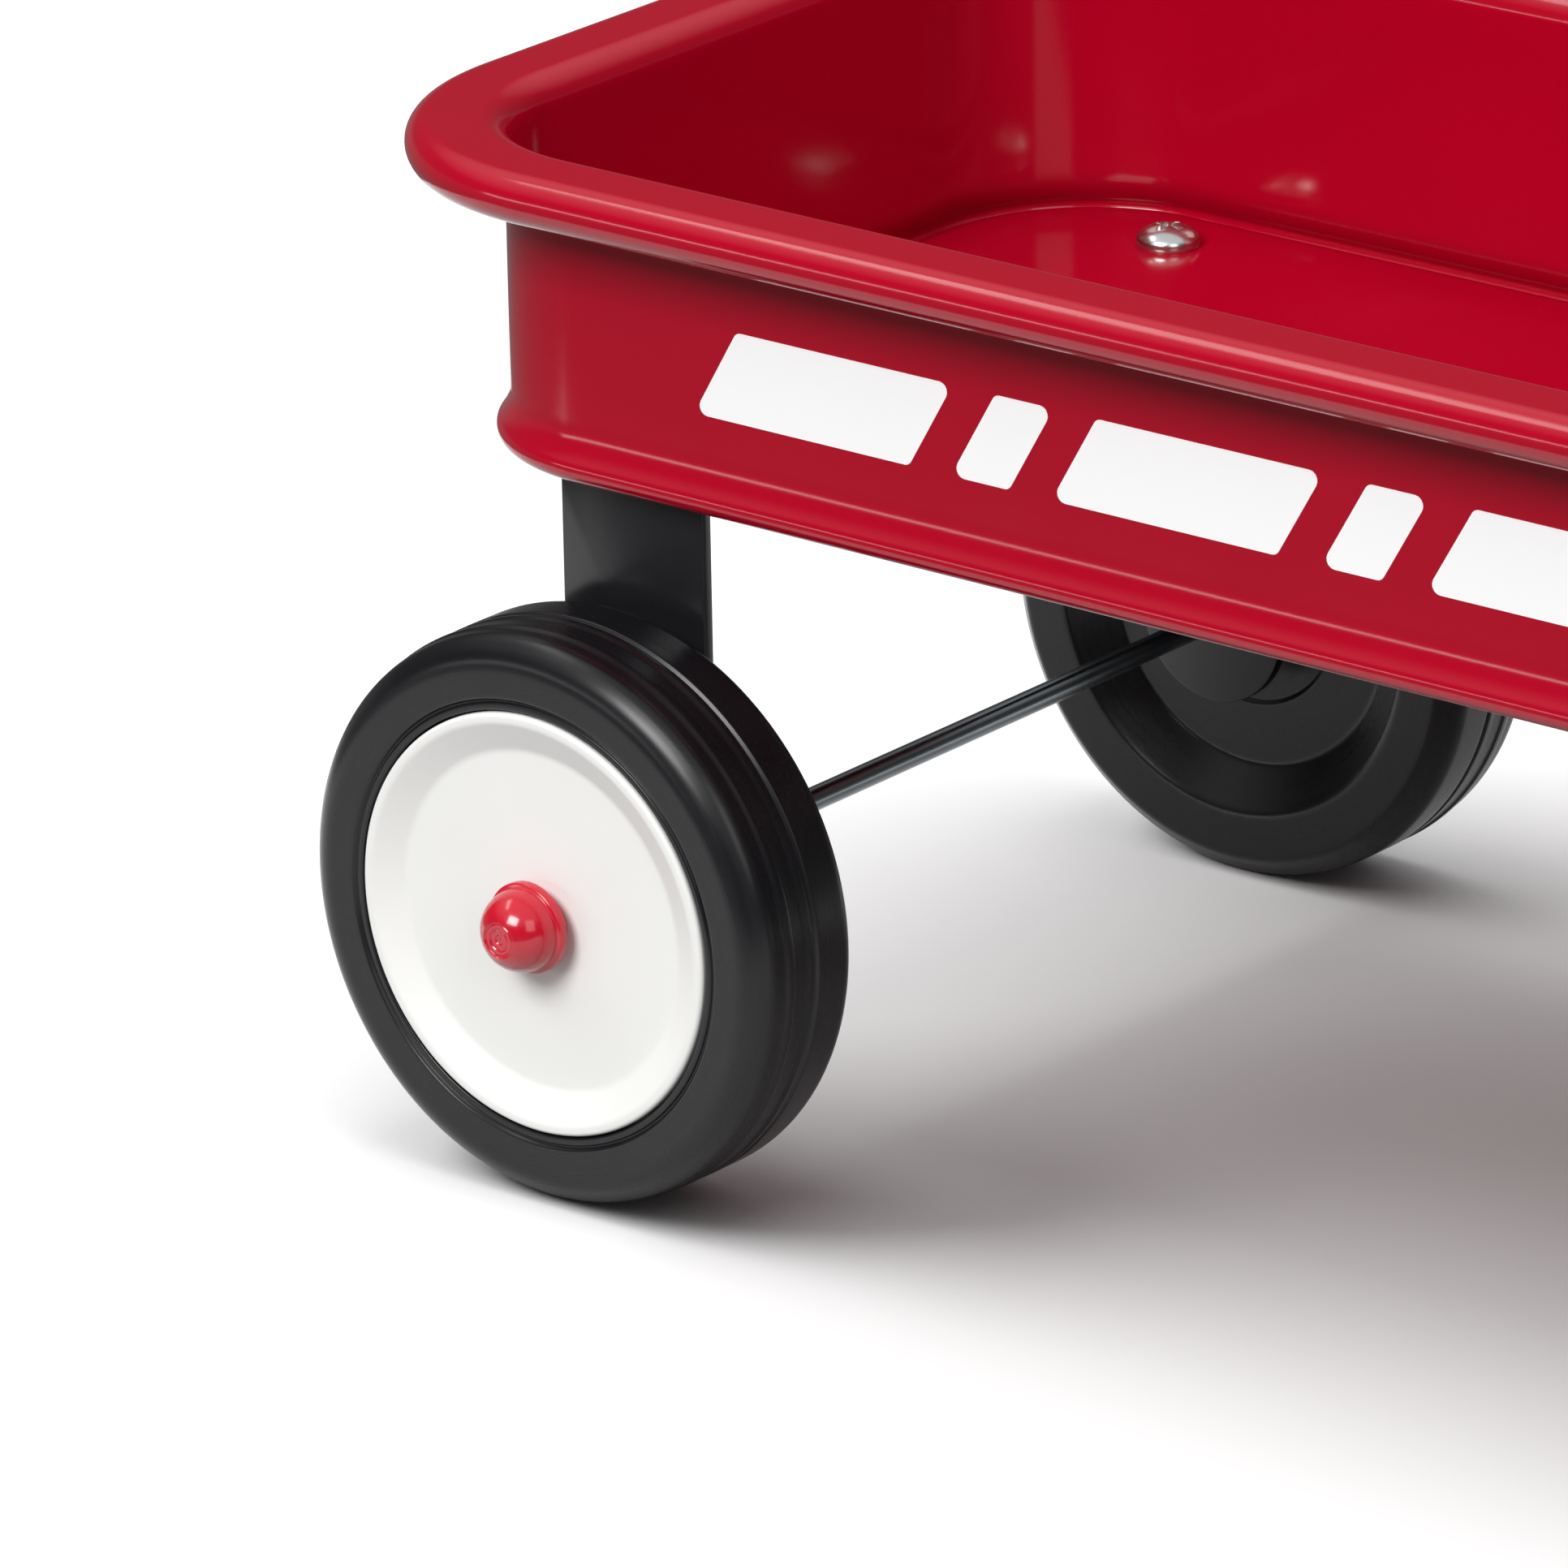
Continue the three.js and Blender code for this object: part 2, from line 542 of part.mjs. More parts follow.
// A screw down through the tray's floor, with its nut.
function screwAndNut(place, group, nutTop) {
  const pair = new THREE.Group();
  const tipZ = tipBelow(nutTop, SCREW_NUT);
  const screw = screwGeometry(SCREW_RADIUS, SCREW_HEAD, FLOOR_TOP_Z + GAP, tipZ);
  pair.add(
    part(`${group}_screw_${place}`, screw, ZINC_STEEL),
    part(`${group}_nut_${place}`, nutGeometry(SCREW_RADIUS, SCREW_NUT, nutTop), ZINC_STEEL),
  );
  return pair;
}

function rearEnd() {
  const rear = new THREE.Group();
  rear.position.x = REAR_AXLE_X;
  rear.add(part('rear_axle_bracket', rearBracketGeometry(), BLACK_ENAMEL), wheelset('rear'));
  const nutTop = FLOOR_Z - STRAP_SHEET - 2 * GAP;
  for (const [side, sign] of SIDES) {
    const pair = screwAndNut(side, 'rear', nutTop);
    pair.position.y = sign * SCREW_SPACING / 2;
    rear.add(pair);
  }
  return rear;
}

function steeringPivot() {
  const pivot = new THREE.Group();
  const bearingTop = BOSS_UNDERSIDE_Z - GAP;
  const bearing = ringWasher(KINGPIN_RADIUS + GAP, 6, bearingTop - BEARING_HEIGHT, bearingTop);
  const kingpinNutTop = TONGUE_UNDERSIDE_Z - GAP;
  const kingpin = screwGeometry(
    KINGPIN_RADIUS, KINGPIN_HEAD, FLOOR_TOP_Z + GAP, tipBelow(kingpinNutTop, KINGPIN_NUT),
  );
  const kingpinNut = nutGeometry(KINGPIN_RADIUS, KINGPIN_NUT, kingpinNutTop);
  pivot.add(
    part('pivot_plate', pivotPlateGeometry(), BLACK_ENAMEL),
    part('kingpin', kingpin, ZINC_STEEL),
    part('kingpin_bearing', bearing.rotateX(Math.PI / 2), NATURAL_NYLON),
    part('kingpin_nut', kingpinNut, ZINC_STEEL),
  );
  for (const [end, sign] of ENDS) {
    const pair = screwAndNut(end, 'pivot', PIVOT_TOP_Z - PIVOT_PLATE_SHEET - GAP);
    pair.position.x = sign * PIVOT_SCREW_REACH;
    pivot.add(pair);
  }
  return pivot;
}

function pullHandle() {
  const handle = new THREE.Group();
  handle.rotation.y = HANDLE_DIP;
  handle.add(
    part('handle_shaft', handleShaftGeometry(), BLACK_ENAMEL),
    part('handle_grip', gripGeometry(), BLACK_PLASTIC),
    part('handle_grip_rivet', gripRivetGeometry(), ZINC_STEEL),
  );
  return handle;
}

function frontEnd() {
  const front = new THREE.Group();
  front.position.x = KINGPIN_X;
  front.add(
    steeringPivot(),
    part('front_axle_bracket', strapBracket(YOKE_TOP_Z, pivotHoles()), BLACK_ENAMEL),
    part('tongue_bracket', tongueGeometry(), BLACK_ENAMEL),
    wheelset('front'),
  );
  for (const [end, sign] of ENDS) {
    const rivet = part(`tongue_rivet_${end}`, rivetGeometry(), BLACK_ENAMEL);
    rivet.position.x = sign * RIVET_REACH;
    front.add(rivet);
  }
  const hinge = new THREE.Group();
  hinge.position.set(TONGUE_REACH, 0, HINGE_Z);
  hinge.add(
    part('handle_pin', hingePinGeometry(), ZINC_STEEL),
    part('handle_pin_clip', pinClipGeometry(), ZINC_STEEL),
    pullHandle(),
  );
  front.add(hinge);
  return front;
}

const wagon = new THREE.Group();
wagon.add(part('tray', trayGeometry(), RED_ENAMEL), rearEnd(), frontEnd());

// The origin is on the ground under the middle of the wagon's whole length, handle included.
const extent = new THREE.Box3().setFromObject(wagon, true);
wagon.position.x = -(extent.min.x + extent.max.x) / 2;
wagon.updateMatrixWorld(true);

export default wagon;
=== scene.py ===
"""A doll-size pressed steel wagon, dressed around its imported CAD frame.

Lengths are in millimetres until a mesh is made, which turns them into metres. A turned piece has
its own axis as local Z, so that its material can tell around from along.
"""

import math
from itertools import pairwise

import bmesh
import bpy
from mathutils import Matrix, Vector, noise


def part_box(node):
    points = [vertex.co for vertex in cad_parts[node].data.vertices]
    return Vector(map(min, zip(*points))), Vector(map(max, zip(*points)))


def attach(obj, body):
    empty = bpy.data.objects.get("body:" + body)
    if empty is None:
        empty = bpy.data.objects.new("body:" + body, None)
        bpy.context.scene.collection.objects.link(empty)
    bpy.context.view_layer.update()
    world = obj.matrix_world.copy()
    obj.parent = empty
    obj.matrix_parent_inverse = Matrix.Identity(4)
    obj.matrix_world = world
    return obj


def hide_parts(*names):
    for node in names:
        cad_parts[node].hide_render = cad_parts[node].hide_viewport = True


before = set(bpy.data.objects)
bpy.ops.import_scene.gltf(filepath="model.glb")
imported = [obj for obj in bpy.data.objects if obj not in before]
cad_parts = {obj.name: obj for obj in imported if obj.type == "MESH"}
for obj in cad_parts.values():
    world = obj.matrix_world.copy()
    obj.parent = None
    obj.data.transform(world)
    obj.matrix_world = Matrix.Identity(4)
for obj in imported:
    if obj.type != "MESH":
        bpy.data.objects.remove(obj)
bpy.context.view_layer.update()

MM = 0.001

Y_AXIS, Z_AXIS = Vector((0, 1, 0)), Vector((0, 0, 1))
SIDES = {"left": 1, "right": -1}
END_BODIES = {"front": "steering", "rear": "chassis"}
CAD_GAP = 0.3                       # that the CAD nodes leave between pieces that touch


# ---- Places, from the frame ----------------------------------------------------------------------


def corners(node):
    """Lowest and highest corner of a CAD node at rest."""
    low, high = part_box(node)
    return low / MM, high / MM


def middle(node):
    low, high = corners(node)
    return (low + high) / 2


def top(node):
    return corners(node)[1].z


def underside(node):
    return corners(node)[0].z


AXLES = {end: middle(f"{end}_axle") for end in END_BODIES}
WHEEL_FACE = corners("rear_left_wheel")[1].y
WHEEL_RADIUS = AXLES["rear"].z
KINGPIN = middle("kingpin")
HINGE = Vector((middle("handle_pin").x, 0, middle("handle_pin").z))


# ---- Outlines ------------------------------------------------------------------------------------


def arc(centre, radii, start, end, steps):
    """Points on an ellipse from one angle to another, in degrees."""
    angles = [math.radians(start + (end - start) * i / steps) for i in range(steps + 1)]
    return [
        Vector((centre[0] + radii[0] * math.cos(a), centre[1] + radii[1] * math.sin(a)))
        for a in angles
    ]


def soften(outline, steps=5, closed=False):
    """Rounds each (x, y, radius) corner of an outline; a corner without a radius stays sharp."""
    points = []
    for i, (x, y, *fillet) in enumerate(outline):
        here = Vector((x, y))
        inside = closed or 0 < i < len(outline) - 1
        if not fillet or not inside:
            points.append(here)
            continue
        before = Vector(outline[i - 1][:2]) - here
        after = Vector(outline[(i + 1) % len(outline)][:2]) - here
        half = before.angle(after) / 2
        reach = min(fillet[0] / math.tan(half), 0.49 * before.length, 0.49 * after.length)
        bisector = (before.normalized() + after.normalized()).normalized()
        centre = here + bisector * reach / math.cos(half)
        start = here + before.normalized() * reach - centre
        end = here + after.normalized() * reach - centre
        turn = math.atan2(start.cross(end), start.dot(end))
        for step in range(steps + 1):
            points.append(centre + Matrix.Rotation(turn * step / steps, 2) @ start)
    return points


def bezier(start, pull_start, pull_end, end, steps):
    """Points along a cubic curve."""
    points = []
    for i in range(steps + 1):
        t = i / steps
        weights = ((1 - t) ** 3, 3 * t * (1 - t) ** 2, 3 * t * t * (1 - t), t**3)
        ends = (start, pull_start, pull_end, end)
        points.append(sum((Vector(p) * w for p, w in zip(ends, weights)), Vector((0, 0))))
    return points


def evenly(points, steps):
    """Points at equal distances around a closed line."""
    loop = [*points, points[0]]
    lengths = [0.0]
    for here, after in pairwise(loop):
        lengths.append(lengths[-1] + (after - here).length)
    spaced, segment = [], 0
    for i in range(steps):
        target = lengths[-1] * i / steps
        while lengths[segment + 1] < target:
            segment += 1
        share = (target - lengths[segment]) / (lengths[segment + 1] - lengths[segment])
        spaced.append(loop[segment].lerp(loop[segment + 1], share))
    return spaced


def brace(points, margin=0.5, closed=False):
    """Adds a point near both ends of each long straight stretch, so that smooth shading keeps it flat."""
    braced = []
    for here, after in pairwise([*points, points[0]] if closed else points):
        braced.append(here)
        step = after - here
        if step.length > 4 * margin:
            braced += [here + step.normalized() * margin, after - step.normalized() * margin]
    return braced if closed else [*braced, points[-1]]


def thicken(line, sheet):
    """Both faces of a bent sheet whose middle follows a line, as one closed outline."""
    faces = {1: [], -1: []}
    for i, point in enumerate(line):
        along = (line[min(i + 1, len(line) - 1)] - line[max(i - 1, 0)]).normalized()
        for sign, face in faces.items():
            face.append(point + Vector((-along.y, along.x)) * sign * sheet / 2)
    return faces[-1] + faces[1][::-1]


# ---- Meshes --------------------------------------------------------------------------------------


def mesh_of(points, faces, sharp=40):
    """A smooth-shaded mesh with outward faces, and sharp edges where it turns more than an angle."""
    mesh = bpy.data.meshes.new("mesh")
    mesh.from_pydata([Vector(p) * MM for p in points], [], faces)
    finish_mesh(mesh, sharp)
    return mesh


def finish_mesh(mesh, sharp=40):
    """Merges doubled points, turns faces outwards and shades smooth up to the sharp angle."""
    shape = bmesh.new()
    shape.from_mesh(mesh)
    bmesh.ops.remove_doubles(shape, verts=shape.verts, dist=1e-7)
    bmesh.ops.recalc_face_normals(shape, faces=shape.faces)
    shape.to_mesh(mesh)
    shape.free()
    mesh.shade_smooth()
    mesh.set_sharp_from_angle(angle=math.radians(sharp))


def skin(rings, closed_run=False):
    """Points and faces of a skin over rings of points, with flat ends unless the run is closed."""
    sides = len(rings[0])
    points = [p for ring in rings for p in ring]
    rows = [range(i * sides, (i + 1) * sides) for i in range(len(rings))]
    faces = []
    for row, after in pairwise([*rows, rows[0]] if closed_run else rows):
        for i in range(sides):
            j = (i + 1) % sides
            faces.append((row[i], row[j], after[j], after[i]))
    if not closed_run:
        faces += [tuple(reversed(rows[0])), tuple(rows[-1])]
    return points, faces


def turned(outline, sides=96, wobble=None):
    """Points and faces turned about local Z from (radius, height) points.

    An outline that doesn't start and end on the axis is closed into a ring. The wobble is added to
    each radius.
    """
    on_axis = outline[0][0] < 1e-6 and outline[-1][0] < 1e-6
    points, rows = [], []
    for radius, height in outline:
        row = []
        for i in range(1 if radius < 1e-6 else sides):
            angle = 2 * math.pi * i / sides
            reach = radius + (wobble(angle, radius, height) if wobble else 0)
            row.append(len(points))
            points.append(Vector((reach * math.cos(angle), reach * math.sin(angle), height)))
        rows.append(row * sides if len(row) == 1 else row)
    faces = []
    for row, after in pairwise(rows if on_axis else [*rows, rows[0]]):
        for i in range(sides):
            j = (i + 1) % sides
            face = tuple(dict.fromkeys((row[i], row[j], after[j], after[i])))
            if len(face) > 2:
                faces.append(face)
    return points, faces


def prism(outline, low, high):
    """Points and faces of a flat outline made solid between two heights."""
    return skin([[Vector((x, y, z)) for x, y in outline] for z in (low, high)])


def together(*solids):
    """Several points-and-faces solids as one."""
    points, faces = [], []
    for more_points, more_faces in solids:
        start = len(points)
        points += more_points
        faces += [tuple(start + i for i in face) for face in more_faces]
    return points, faces


def moved(solid, place):
    points, faces = solid
    return [place @ Vector(p) for p in points], faces


def facing(point, direction):
    """The place of something at a point with its local Z along a direction."""
    return Matrix.Translation(point) @ Vector(direction).to_track_quat("Z", "Y").to_matrix().to_4x4()


def settle(obj):
    """Makes an object's modifiers part of its mesh."""
    graph = bpy.context.evaluated_depsgraph_get()
    settled = bpy.data.meshes.new_from_object(obj.evaluated_get(graph))
    obj.modifiers.clear()
    obj.data = settled


def rough_object(solid):
    """A temporary object for modifiers to work on."""
    obj = bpy.data.objects.new("rough", mesh_of(*solid))
    bpy.context.scene.collection.objects.link(obj)
    return obj


def combine(solid, *steps):
    """A temporary object made of a solid and of (operation, tool) steps on it."""
    obj = rough_object(solid)
    for operation, tool in steps:
        cutter = rough_object(tool)
        modifier = obj.modifiers.new("combine", "BOOLEAN")
        modifier.operation = operation
        modifier.solver = "EXACT"
        modifier.object = cutter
        settle(obj)
        bpy.data.objects.remove(cutter)
    return obj


def take_mesh(obj):
    """An object's mesh, once its modifiers are settled; the object itself goes."""
    settle(obj)
    mesh = obj.data
    bpy.data.objects.remove(obj)
    return mesh


def eased(obj, width, sharp=40):
    """A temporary object's mesh with its hard edges rounded off."""
    bevel = obj.modifiers.new("ease", "BEVEL")
    bevel.width = width * MM
    bevel.segments = 2
    bevel.limit_method = "ANGLE"
    bevel.angle_limit = math.radians(sharp)
    mesh = take_mesh(obj)
    finish_mesh(mesh, sharp)
    return mesh


def joined(mesh, other):
    """Adds another mesh's faces to a mesh."""
    shape = bmesh.new()
    shape.from_mesh(mesh)
    shape.from_mesh(other)
    shape.to_mesh(mesh)
    shape.free()
    bpy.data.meshes.remove(other)


def piece(name, mesh, place, material, slot, body, *nodes):
    """A finished piece, whose mesh is in local coordinates at a place given in millimetres."""
    obj = bpy.data.objects.new(name, mesh)
    bpy.context.scene.collection.objects.link(obj)
    mesh.materials.append(material)
    in_metres = place.copy()
    in_metres.translation = place.translation * MM
    obj.matrix_world = in_metres
    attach(obj, body)
    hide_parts(*nodes)


# ---- Materials -----------------------------------------------------------------------------------


def srgb(red, green, blue):
    """A colour given as 0 to 255 display values."""
    levels = (c / 255 for c in (red, green, blue))
    linear = [c / 12.92 if c < 0.04045 else ((c + 0.055) / 1.055) ** 2.4 for c in levels]
    return (*linear, 1)


STREAK_PITCH = 0.0006               # metres of pattern for each radian that a streak runs around


class Surface:
    """A Principled material with helpers for its procedural detail."""

    def __init__(self, name, **settings):
        self.material = bpy.data.materials.new(name)
        self.material.use_nodes = True
        self.tree = self.material.node_tree
        self.shader = self.tree.nodes["Principled BSDF"]
        for socket, value in settings.items():
            self.shader.inputs[socket.replace("_", " ")].default_value = value
        self.object_coordinates = self.node("ShaderNodeTexCoord").outputs["Object"]
        self.relief = None

    def node(self, kind, inputs=(), **settings):
        made = self.tree.nodes.new(kind)
        for key, value in settings.items():
            setattr(made, key, value)
        for socket, value in dict(inputs).items():
            if isinstance(value, bpy.types.NodeSocket):
                self.tree.links.new(value, made.inputs[socket])
            else:
                made.inputs[socket].default_value = value
        return made

    def math(self, operation, first, second=0.0):
        inputs = {0: first, 1: second}
        return self.node("ShaderNodeMath", inputs, operation=operation).outputs[0]

    def around(self):
        """Coordinates that follow a turned piece: around its axis, outwards and along."""
        across, up, along = self.node("ShaderNodeSeparateXYZ", {0: self.object_coordinates}).outputs
        squares = [self.math("MULTIPLY", side, side) for side in (across, up)]
        radius = self.math("POWER", self.math("ADD", *squares), 0.5)
        angle = self.math("ARCTAN2", up, across)
        turns = self.math("MULTIPLY", angle, STREAK_PITCH)
        return self.node("ShaderNodeCombineXYZ", {0: turns, 1: radius, 2: along}).outputs[0]

    def noise(self, wavelength, detail=3.0, roughness=0.5, where=None):
        """Soft noise from 0 to 1, with its wavelength in millimetres."""
        inputs = {
            "Vector": where or self.object_coordinates,
            "Scale": 1 / (wavelength * MM),
            "Detail": detail,
            "Roughness": roughness,
        }
        return self.node("ShaderNodeTexNoise", inputs).outputs["Fac"]

    def ramp(self, value, low, high, from_low=0.0, from_high=1.0):
        """A value's range, mapped straight onto another and held at its ends."""
        inputs = {"Value": value, "From Min": from_low, "From Max": from_high,
                  "To Min": low, "To Max": high}
        return self.node("ShaderNodeMapRange", inputs).outputs["Result"]

    def mix(self, factor, first, second):
        """A blend of two colours, which a mix node takes at inputs 6 and 7 and gives at output 2."""
        inputs = {0: factor, 6: first, 7: second}
        return self.node("ShaderNodeMix", inputs, data_type="RGBA").outputs[2]

    def colour(self, value):
        self.tree.links.new(value, self.shader.inputs["Base Color"])

    def roughness(self, value):
        self.tree.links.new(value, self.shader.inputs["Roughness"])

    def bump(self, value, height):
        """Adds relief whose full range is a height in millimetres."""
        inputs = {"Height": value, "Distance": height * MM, "Strength": 1.0}
        if self.relief:
            inputs["Normal"] = self.relief
        self.relief = self.node("ShaderNodeBump", inputs).outputs["Normal"]
        self.tree.links.new(self.relief, self.shader.inputs["Normal"])


def enamel(name, colour, shade, gloss, specular):
    """Baked paint: a faint orange peel, slow changes of shade and a few rougher patches."""
    surface = Surface(name, Specular_IOR_Level=specular)
    surface.colour(surface.mix(surface.noise(40), colour, shade))
    surface.roughness(surface.ramp(surface.noise(18, detail=5), gloss - 0.03, gloss + 0.05))
    surface.bump(surface.noise(2.6, detail=1), 0.006)
    surface.bump(surface.noise(0.5, detail=2), 0.0015)
    return surface.material


def moulded(name, colour, dusty, gloss, specular, grain):
    """Moulded plastic or rubber with mould streaks around its axis and sparse pale dust."""
    surface = Surface(name, Specular_IOR_Level=specular)
    streaks = surface.noise(0.9, detail=4, where=surface.around())
    dust = surface.ramp(surface.noise(0.7, detail=6, roughness=0.7), 0.0, 1.0, 0.66, 0.8)
    cloud = surface.ramp(surface.noise(14, detail=4), 0.0, 0.35, 0.35, 0.75)
    surface.colour(surface.mix(surface.math("MAXIMUM", dust, cloud), colour, dusty))
    surface.roughness(surface.ramp(streaks, gloss - 0.08, gloss + 0.1))
    surface.bump(streaks, grain)
    surface.bump(surface.noise(0.35, detail=3), 0.5 * grain)
    return surface.material


def gloss_plastic(name, colour, shade):
    """Polished plastic that lets a little light through."""
    surface = Surface(name, Specular_IOR_Level=0.5, Coat_Weight=0.3, Coat_Roughness=0.1,
                      Subsurface_Weight=0.15, Subsurface_Scale=0.002)
    surface.colour(surface.mix(surface.noise(6), colour, shade))
    surface.roughness(surface.ramp(surface.noise(3, detail=4), 0.13, 0.2))
    surface.bump(surface.noise(1.5, detail=2), 0.002)
    return surface.material


def plated(name, colour, shade, gloss):
    """Plated or drawn steel, with fine lines around or along its own axis."""
    surface = Surface(name, Metallic=1.0)
    lines = surface.noise(0.25, detail=4, where=surface.around())
    surface.colour(surface.mix(surface.noise(5, detail=4), colour, shade))
    surface.roughness(surface.ramp(lines, gloss - 0.06, gloss + 0.1))
    surface.bump(lines, 0.0004)
    return surface.material


def pale_floor():
    """White studio paper."""
    surface = Surface("pale_floor", Roughness=0.9, Specular_IOR_Level=0.1)
    surface.colour(surface.mix(surface.noise(900), srgb(244, 244, 244), srgb(240, 240, 240)))
    return surface.material


RED_ENAMEL = enamel("red_enamel", srgb(172, 2, 36), srgb(166, 2, 33), gloss=0.12, specular=0.42)
WHITE_ENAMEL = enamel("white_enamel", srgb(240, 240, 238), srgb(235, 235, 232), gloss=0.42, specular=0.4)
WHITE_INK = enamel("white_ink", srgb(254, 254, 254), srgb(251, 251, 251), gloss=0.3, specular=0.5)
BLACK_ENAMEL = enamel("black_enamel", srgb(28, 28, 31), srgb(24, 24, 27), gloss=0.2, specular=0.4)
BLACK_WHEEL = moulded("black_wheel", srgb(17, 17, 20), srgb(31, 31, 33), gloss=0.27, specular=0.33,
                      grain=0.004)
BLACK_PLASTIC = moulded("black_plastic", srgb(28, 28, 30), srgb(40, 40, 41), gloss=0.4, specular=0.5,
                        grain=0.008)
RED_PLASTIC = gloss_plastic("red_plastic", srgb(200, 16, 44), srgb(190, 10, 38))
NYLON = gloss_plastic("natural_nylon", srgb(228, 224, 212), srgb(220, 215, 200))
ZINC = plated("zinc_steel", srgb(215, 218, 216), srgb(190, 196, 196), gloss=0.22)
AXLE_STEEL = plated("axle_steel", srgb(150, 158, 162), srgb(135, 142, 146), gloss=0.2)


# ---- Tray ----------------------------------------------------------------------------------------

TRAY_CORNER = 24.5
TRAY_SHEET = 1.0
FLOOR_STEP = 1.65                   # how far the flat floor lies above the bead's underside
FLOOR_FACE_CORNER = 4.5             # corner radius of the one flat face in the middle of the floor
FLOOR_EDGE = -3.0                   # where the floor begins to drop to the bead, in from the wall
BEAD_RADIUS = 1.9
BEAD_HEIGHT = 7.0
RIM_OVERHANG = 12.5
RIM_BEND = 4.0                      # bend from the wall to the rim's flat top, on its inner face
RIM_ROLL = 3.3                      # outer radius of the roll at the rim's edge
RIM_LIP = 3.2                       # the curl's free edge, out from the wall
PLAN_BRACE = 1.5                    # from each corner to a brace on the straight sides


def tray_section():
    """The middle of the sheet, as distances outwards from the wall's outer face and heights."""
    low, high = underside("tray"), top("tray")
    half = TRAY_SHEET / 2
    floor_z = low + FLOOR_STEP + half
    bead_z = low + BEAD_RADIUS
    bead_bend, rim_bend, roll_bend = ((radius - half,) * 2 for radius in (BEAD_RADIUS, RIM_BEND, RIM_ROLL))
    floor = [
        Vector((FLOOR_FACE_CORNER - TRAY_CORNER, floor_z)), Vector((FLOOR_EDGE, floor_z)),
        Vector((FLOOR_EDGE + 0.5, floor_z - 0.12)),
    ]
    bead = arc((0, bead_z), bead_bend, -120, 40, 16)
    ease = bezier(bead[-1], (0.4, bead_z + 1.8), (-half, low + 5.4), (-half, low + BEAD_HEIGHT), 10)
    bend = arc((RIM_BEND - TRAY_SHEET, high - RIM_BEND), rim_bend, 180, 90, 14)
    roll = arc((RIM_OVERHANG - RIM_ROLL, high - RIM_ROLL), roll_bend, 90, -90, 22)
    lip = Vector((RIM_LIP, high - RIM_ROLL - roll_bend[1]))
    return brace([*floor, *bead, *ease[1:], *bend, *roll, lip], margin=1.0)


def tray_plan(steps=26):
    """Around the rounded plan: corner centres with directions, and braces on the straight sides."""
    low, high = corners("tray")
    inset = RIM_OVERHANG + TRAY_CORNER
    rear, front, right, left = low.x + inset, high.x - inset, low.y + inset, high.y - inset
    quarter = math.pi / 2
    stations = []
    for corner, (x, y) in enumerate([(front, left), (rear, left), (rear, right), (front, right)]):
        start = corner * quarter
        before = PLAN_BRACE * Vector((math.sin(start), -math.cos(start)))
        after = -PLAN_BRACE * Vector((math.cos(start), math.sin(start)))
        stations.append((x + before.x, y + before.y, start))
        for step in range(steps + 1):
            stations.append((x, y, start + step / steps * quarter))
        stations.append((x + after.x, y + after.y, start + quarter))
    return stations


def tray():
    plan = tray_plan()
    rings = []
    for reach, height in thicken(tray_section(), TRAY_SHEET):
        out = TRAY_CORNER + reach
        rings.append([
            Vector((x + out * math.cos(a), y + out * math.sin(a), height)) for x, y, a in plan
        ])
    mesh = mesh_of(*skin(rings))
    piece("tray_body", mesh, Matrix(), RED_ENAMEL, "red_enamel", "chassis", "tray")


DECAL_START = 43.3                  # from the outside of the rear wall
DECAL_BOTTOM = 12.9                 # above the tray's underside
DECAL_HEIGHT = 11.8
DECAL_SLANT = 7.0
DECAL_GAP = 6.5
DECAL_FILLET = 1.2
INK_DEPTH, INK_HEIGHT = 0.05, 0.04  # how far the ink reaches into and out of the wall
DECAL_BARS = (34, 9) * 4


def decal(side):
    """A generic row of slanted bars, alternately long and short, inked on a side wall."""
    sign = SIDES[side]
    low, high = corners("tray")
    start = low.x + RIM_OVERHANG + DECAL_START
    bottom = low.z + DECAL_BOTTOM
    wall = high.y - RIM_OVERHANG
    bars = []
    for length in DECAL_BARS:
        lower, upper = (bottom, DECAL_FILLET), (bottom + DECAL_HEIGHT, DECAL_FILLET)
        outline = soften([
            (start, *lower), (start + length, *lower),
            (start + length + DECAL_SLANT, *upper), (start + DECAL_SLANT, *upper),
        ], closed=True)
        bars.append(prism(outline, wall - INK_DEPTH, wall + INK_HEIGHT))
        start += length + DECAL_GAP
    upright = Matrix(((1, 0, 0, 0), (0, 0, sign, 0), (0, 1, 0, 0), (0, 0, 0, 1)))
    mesh = mesh_of(*moved(together(*bars), upright))
    piece(f"side_stripes_{side}", mesh, Matrix(), WHITE_INK, "white_enamel", "chassis")


# ---- Axle brackets -------------------------------------------------------------------------------

STRAP_SHEET = 1.9
STRAP_BEND = 1.6
OUTSIDE = 1.0                       # how far a cutting shape stands clear of what it cuts


def u_bar(half_span, top_z, bottom_z, bend, sheet, from_x, to_x):
    """A U-shaped bar along X, open below, whose middle line bends with a radius."""
    web = top_z - sheet / 2
    outer = half_span - sheet / 2
    line = [
        Vector((outer, bottom_z)), *arc((outer - bend, web - bend), (bend, bend), 0, 90, 8),
        *arc((bend - outer, web - bend), (bend, bend), 90, 180, 8), Vector((-outer, bottom_z)),
    ]
    outline = thicken(line, sheet)
    return skin([[Vector((x, p.x, p.y)) for p in outline] for x in (from_x, to_x)])


def side_plate(outline, half_width):
    """An outline in X and Z as a solid across the wagon."""
    return skin([[Vector((x, y, z)) for x, z in outline] for y in (-half_width, half_width)])


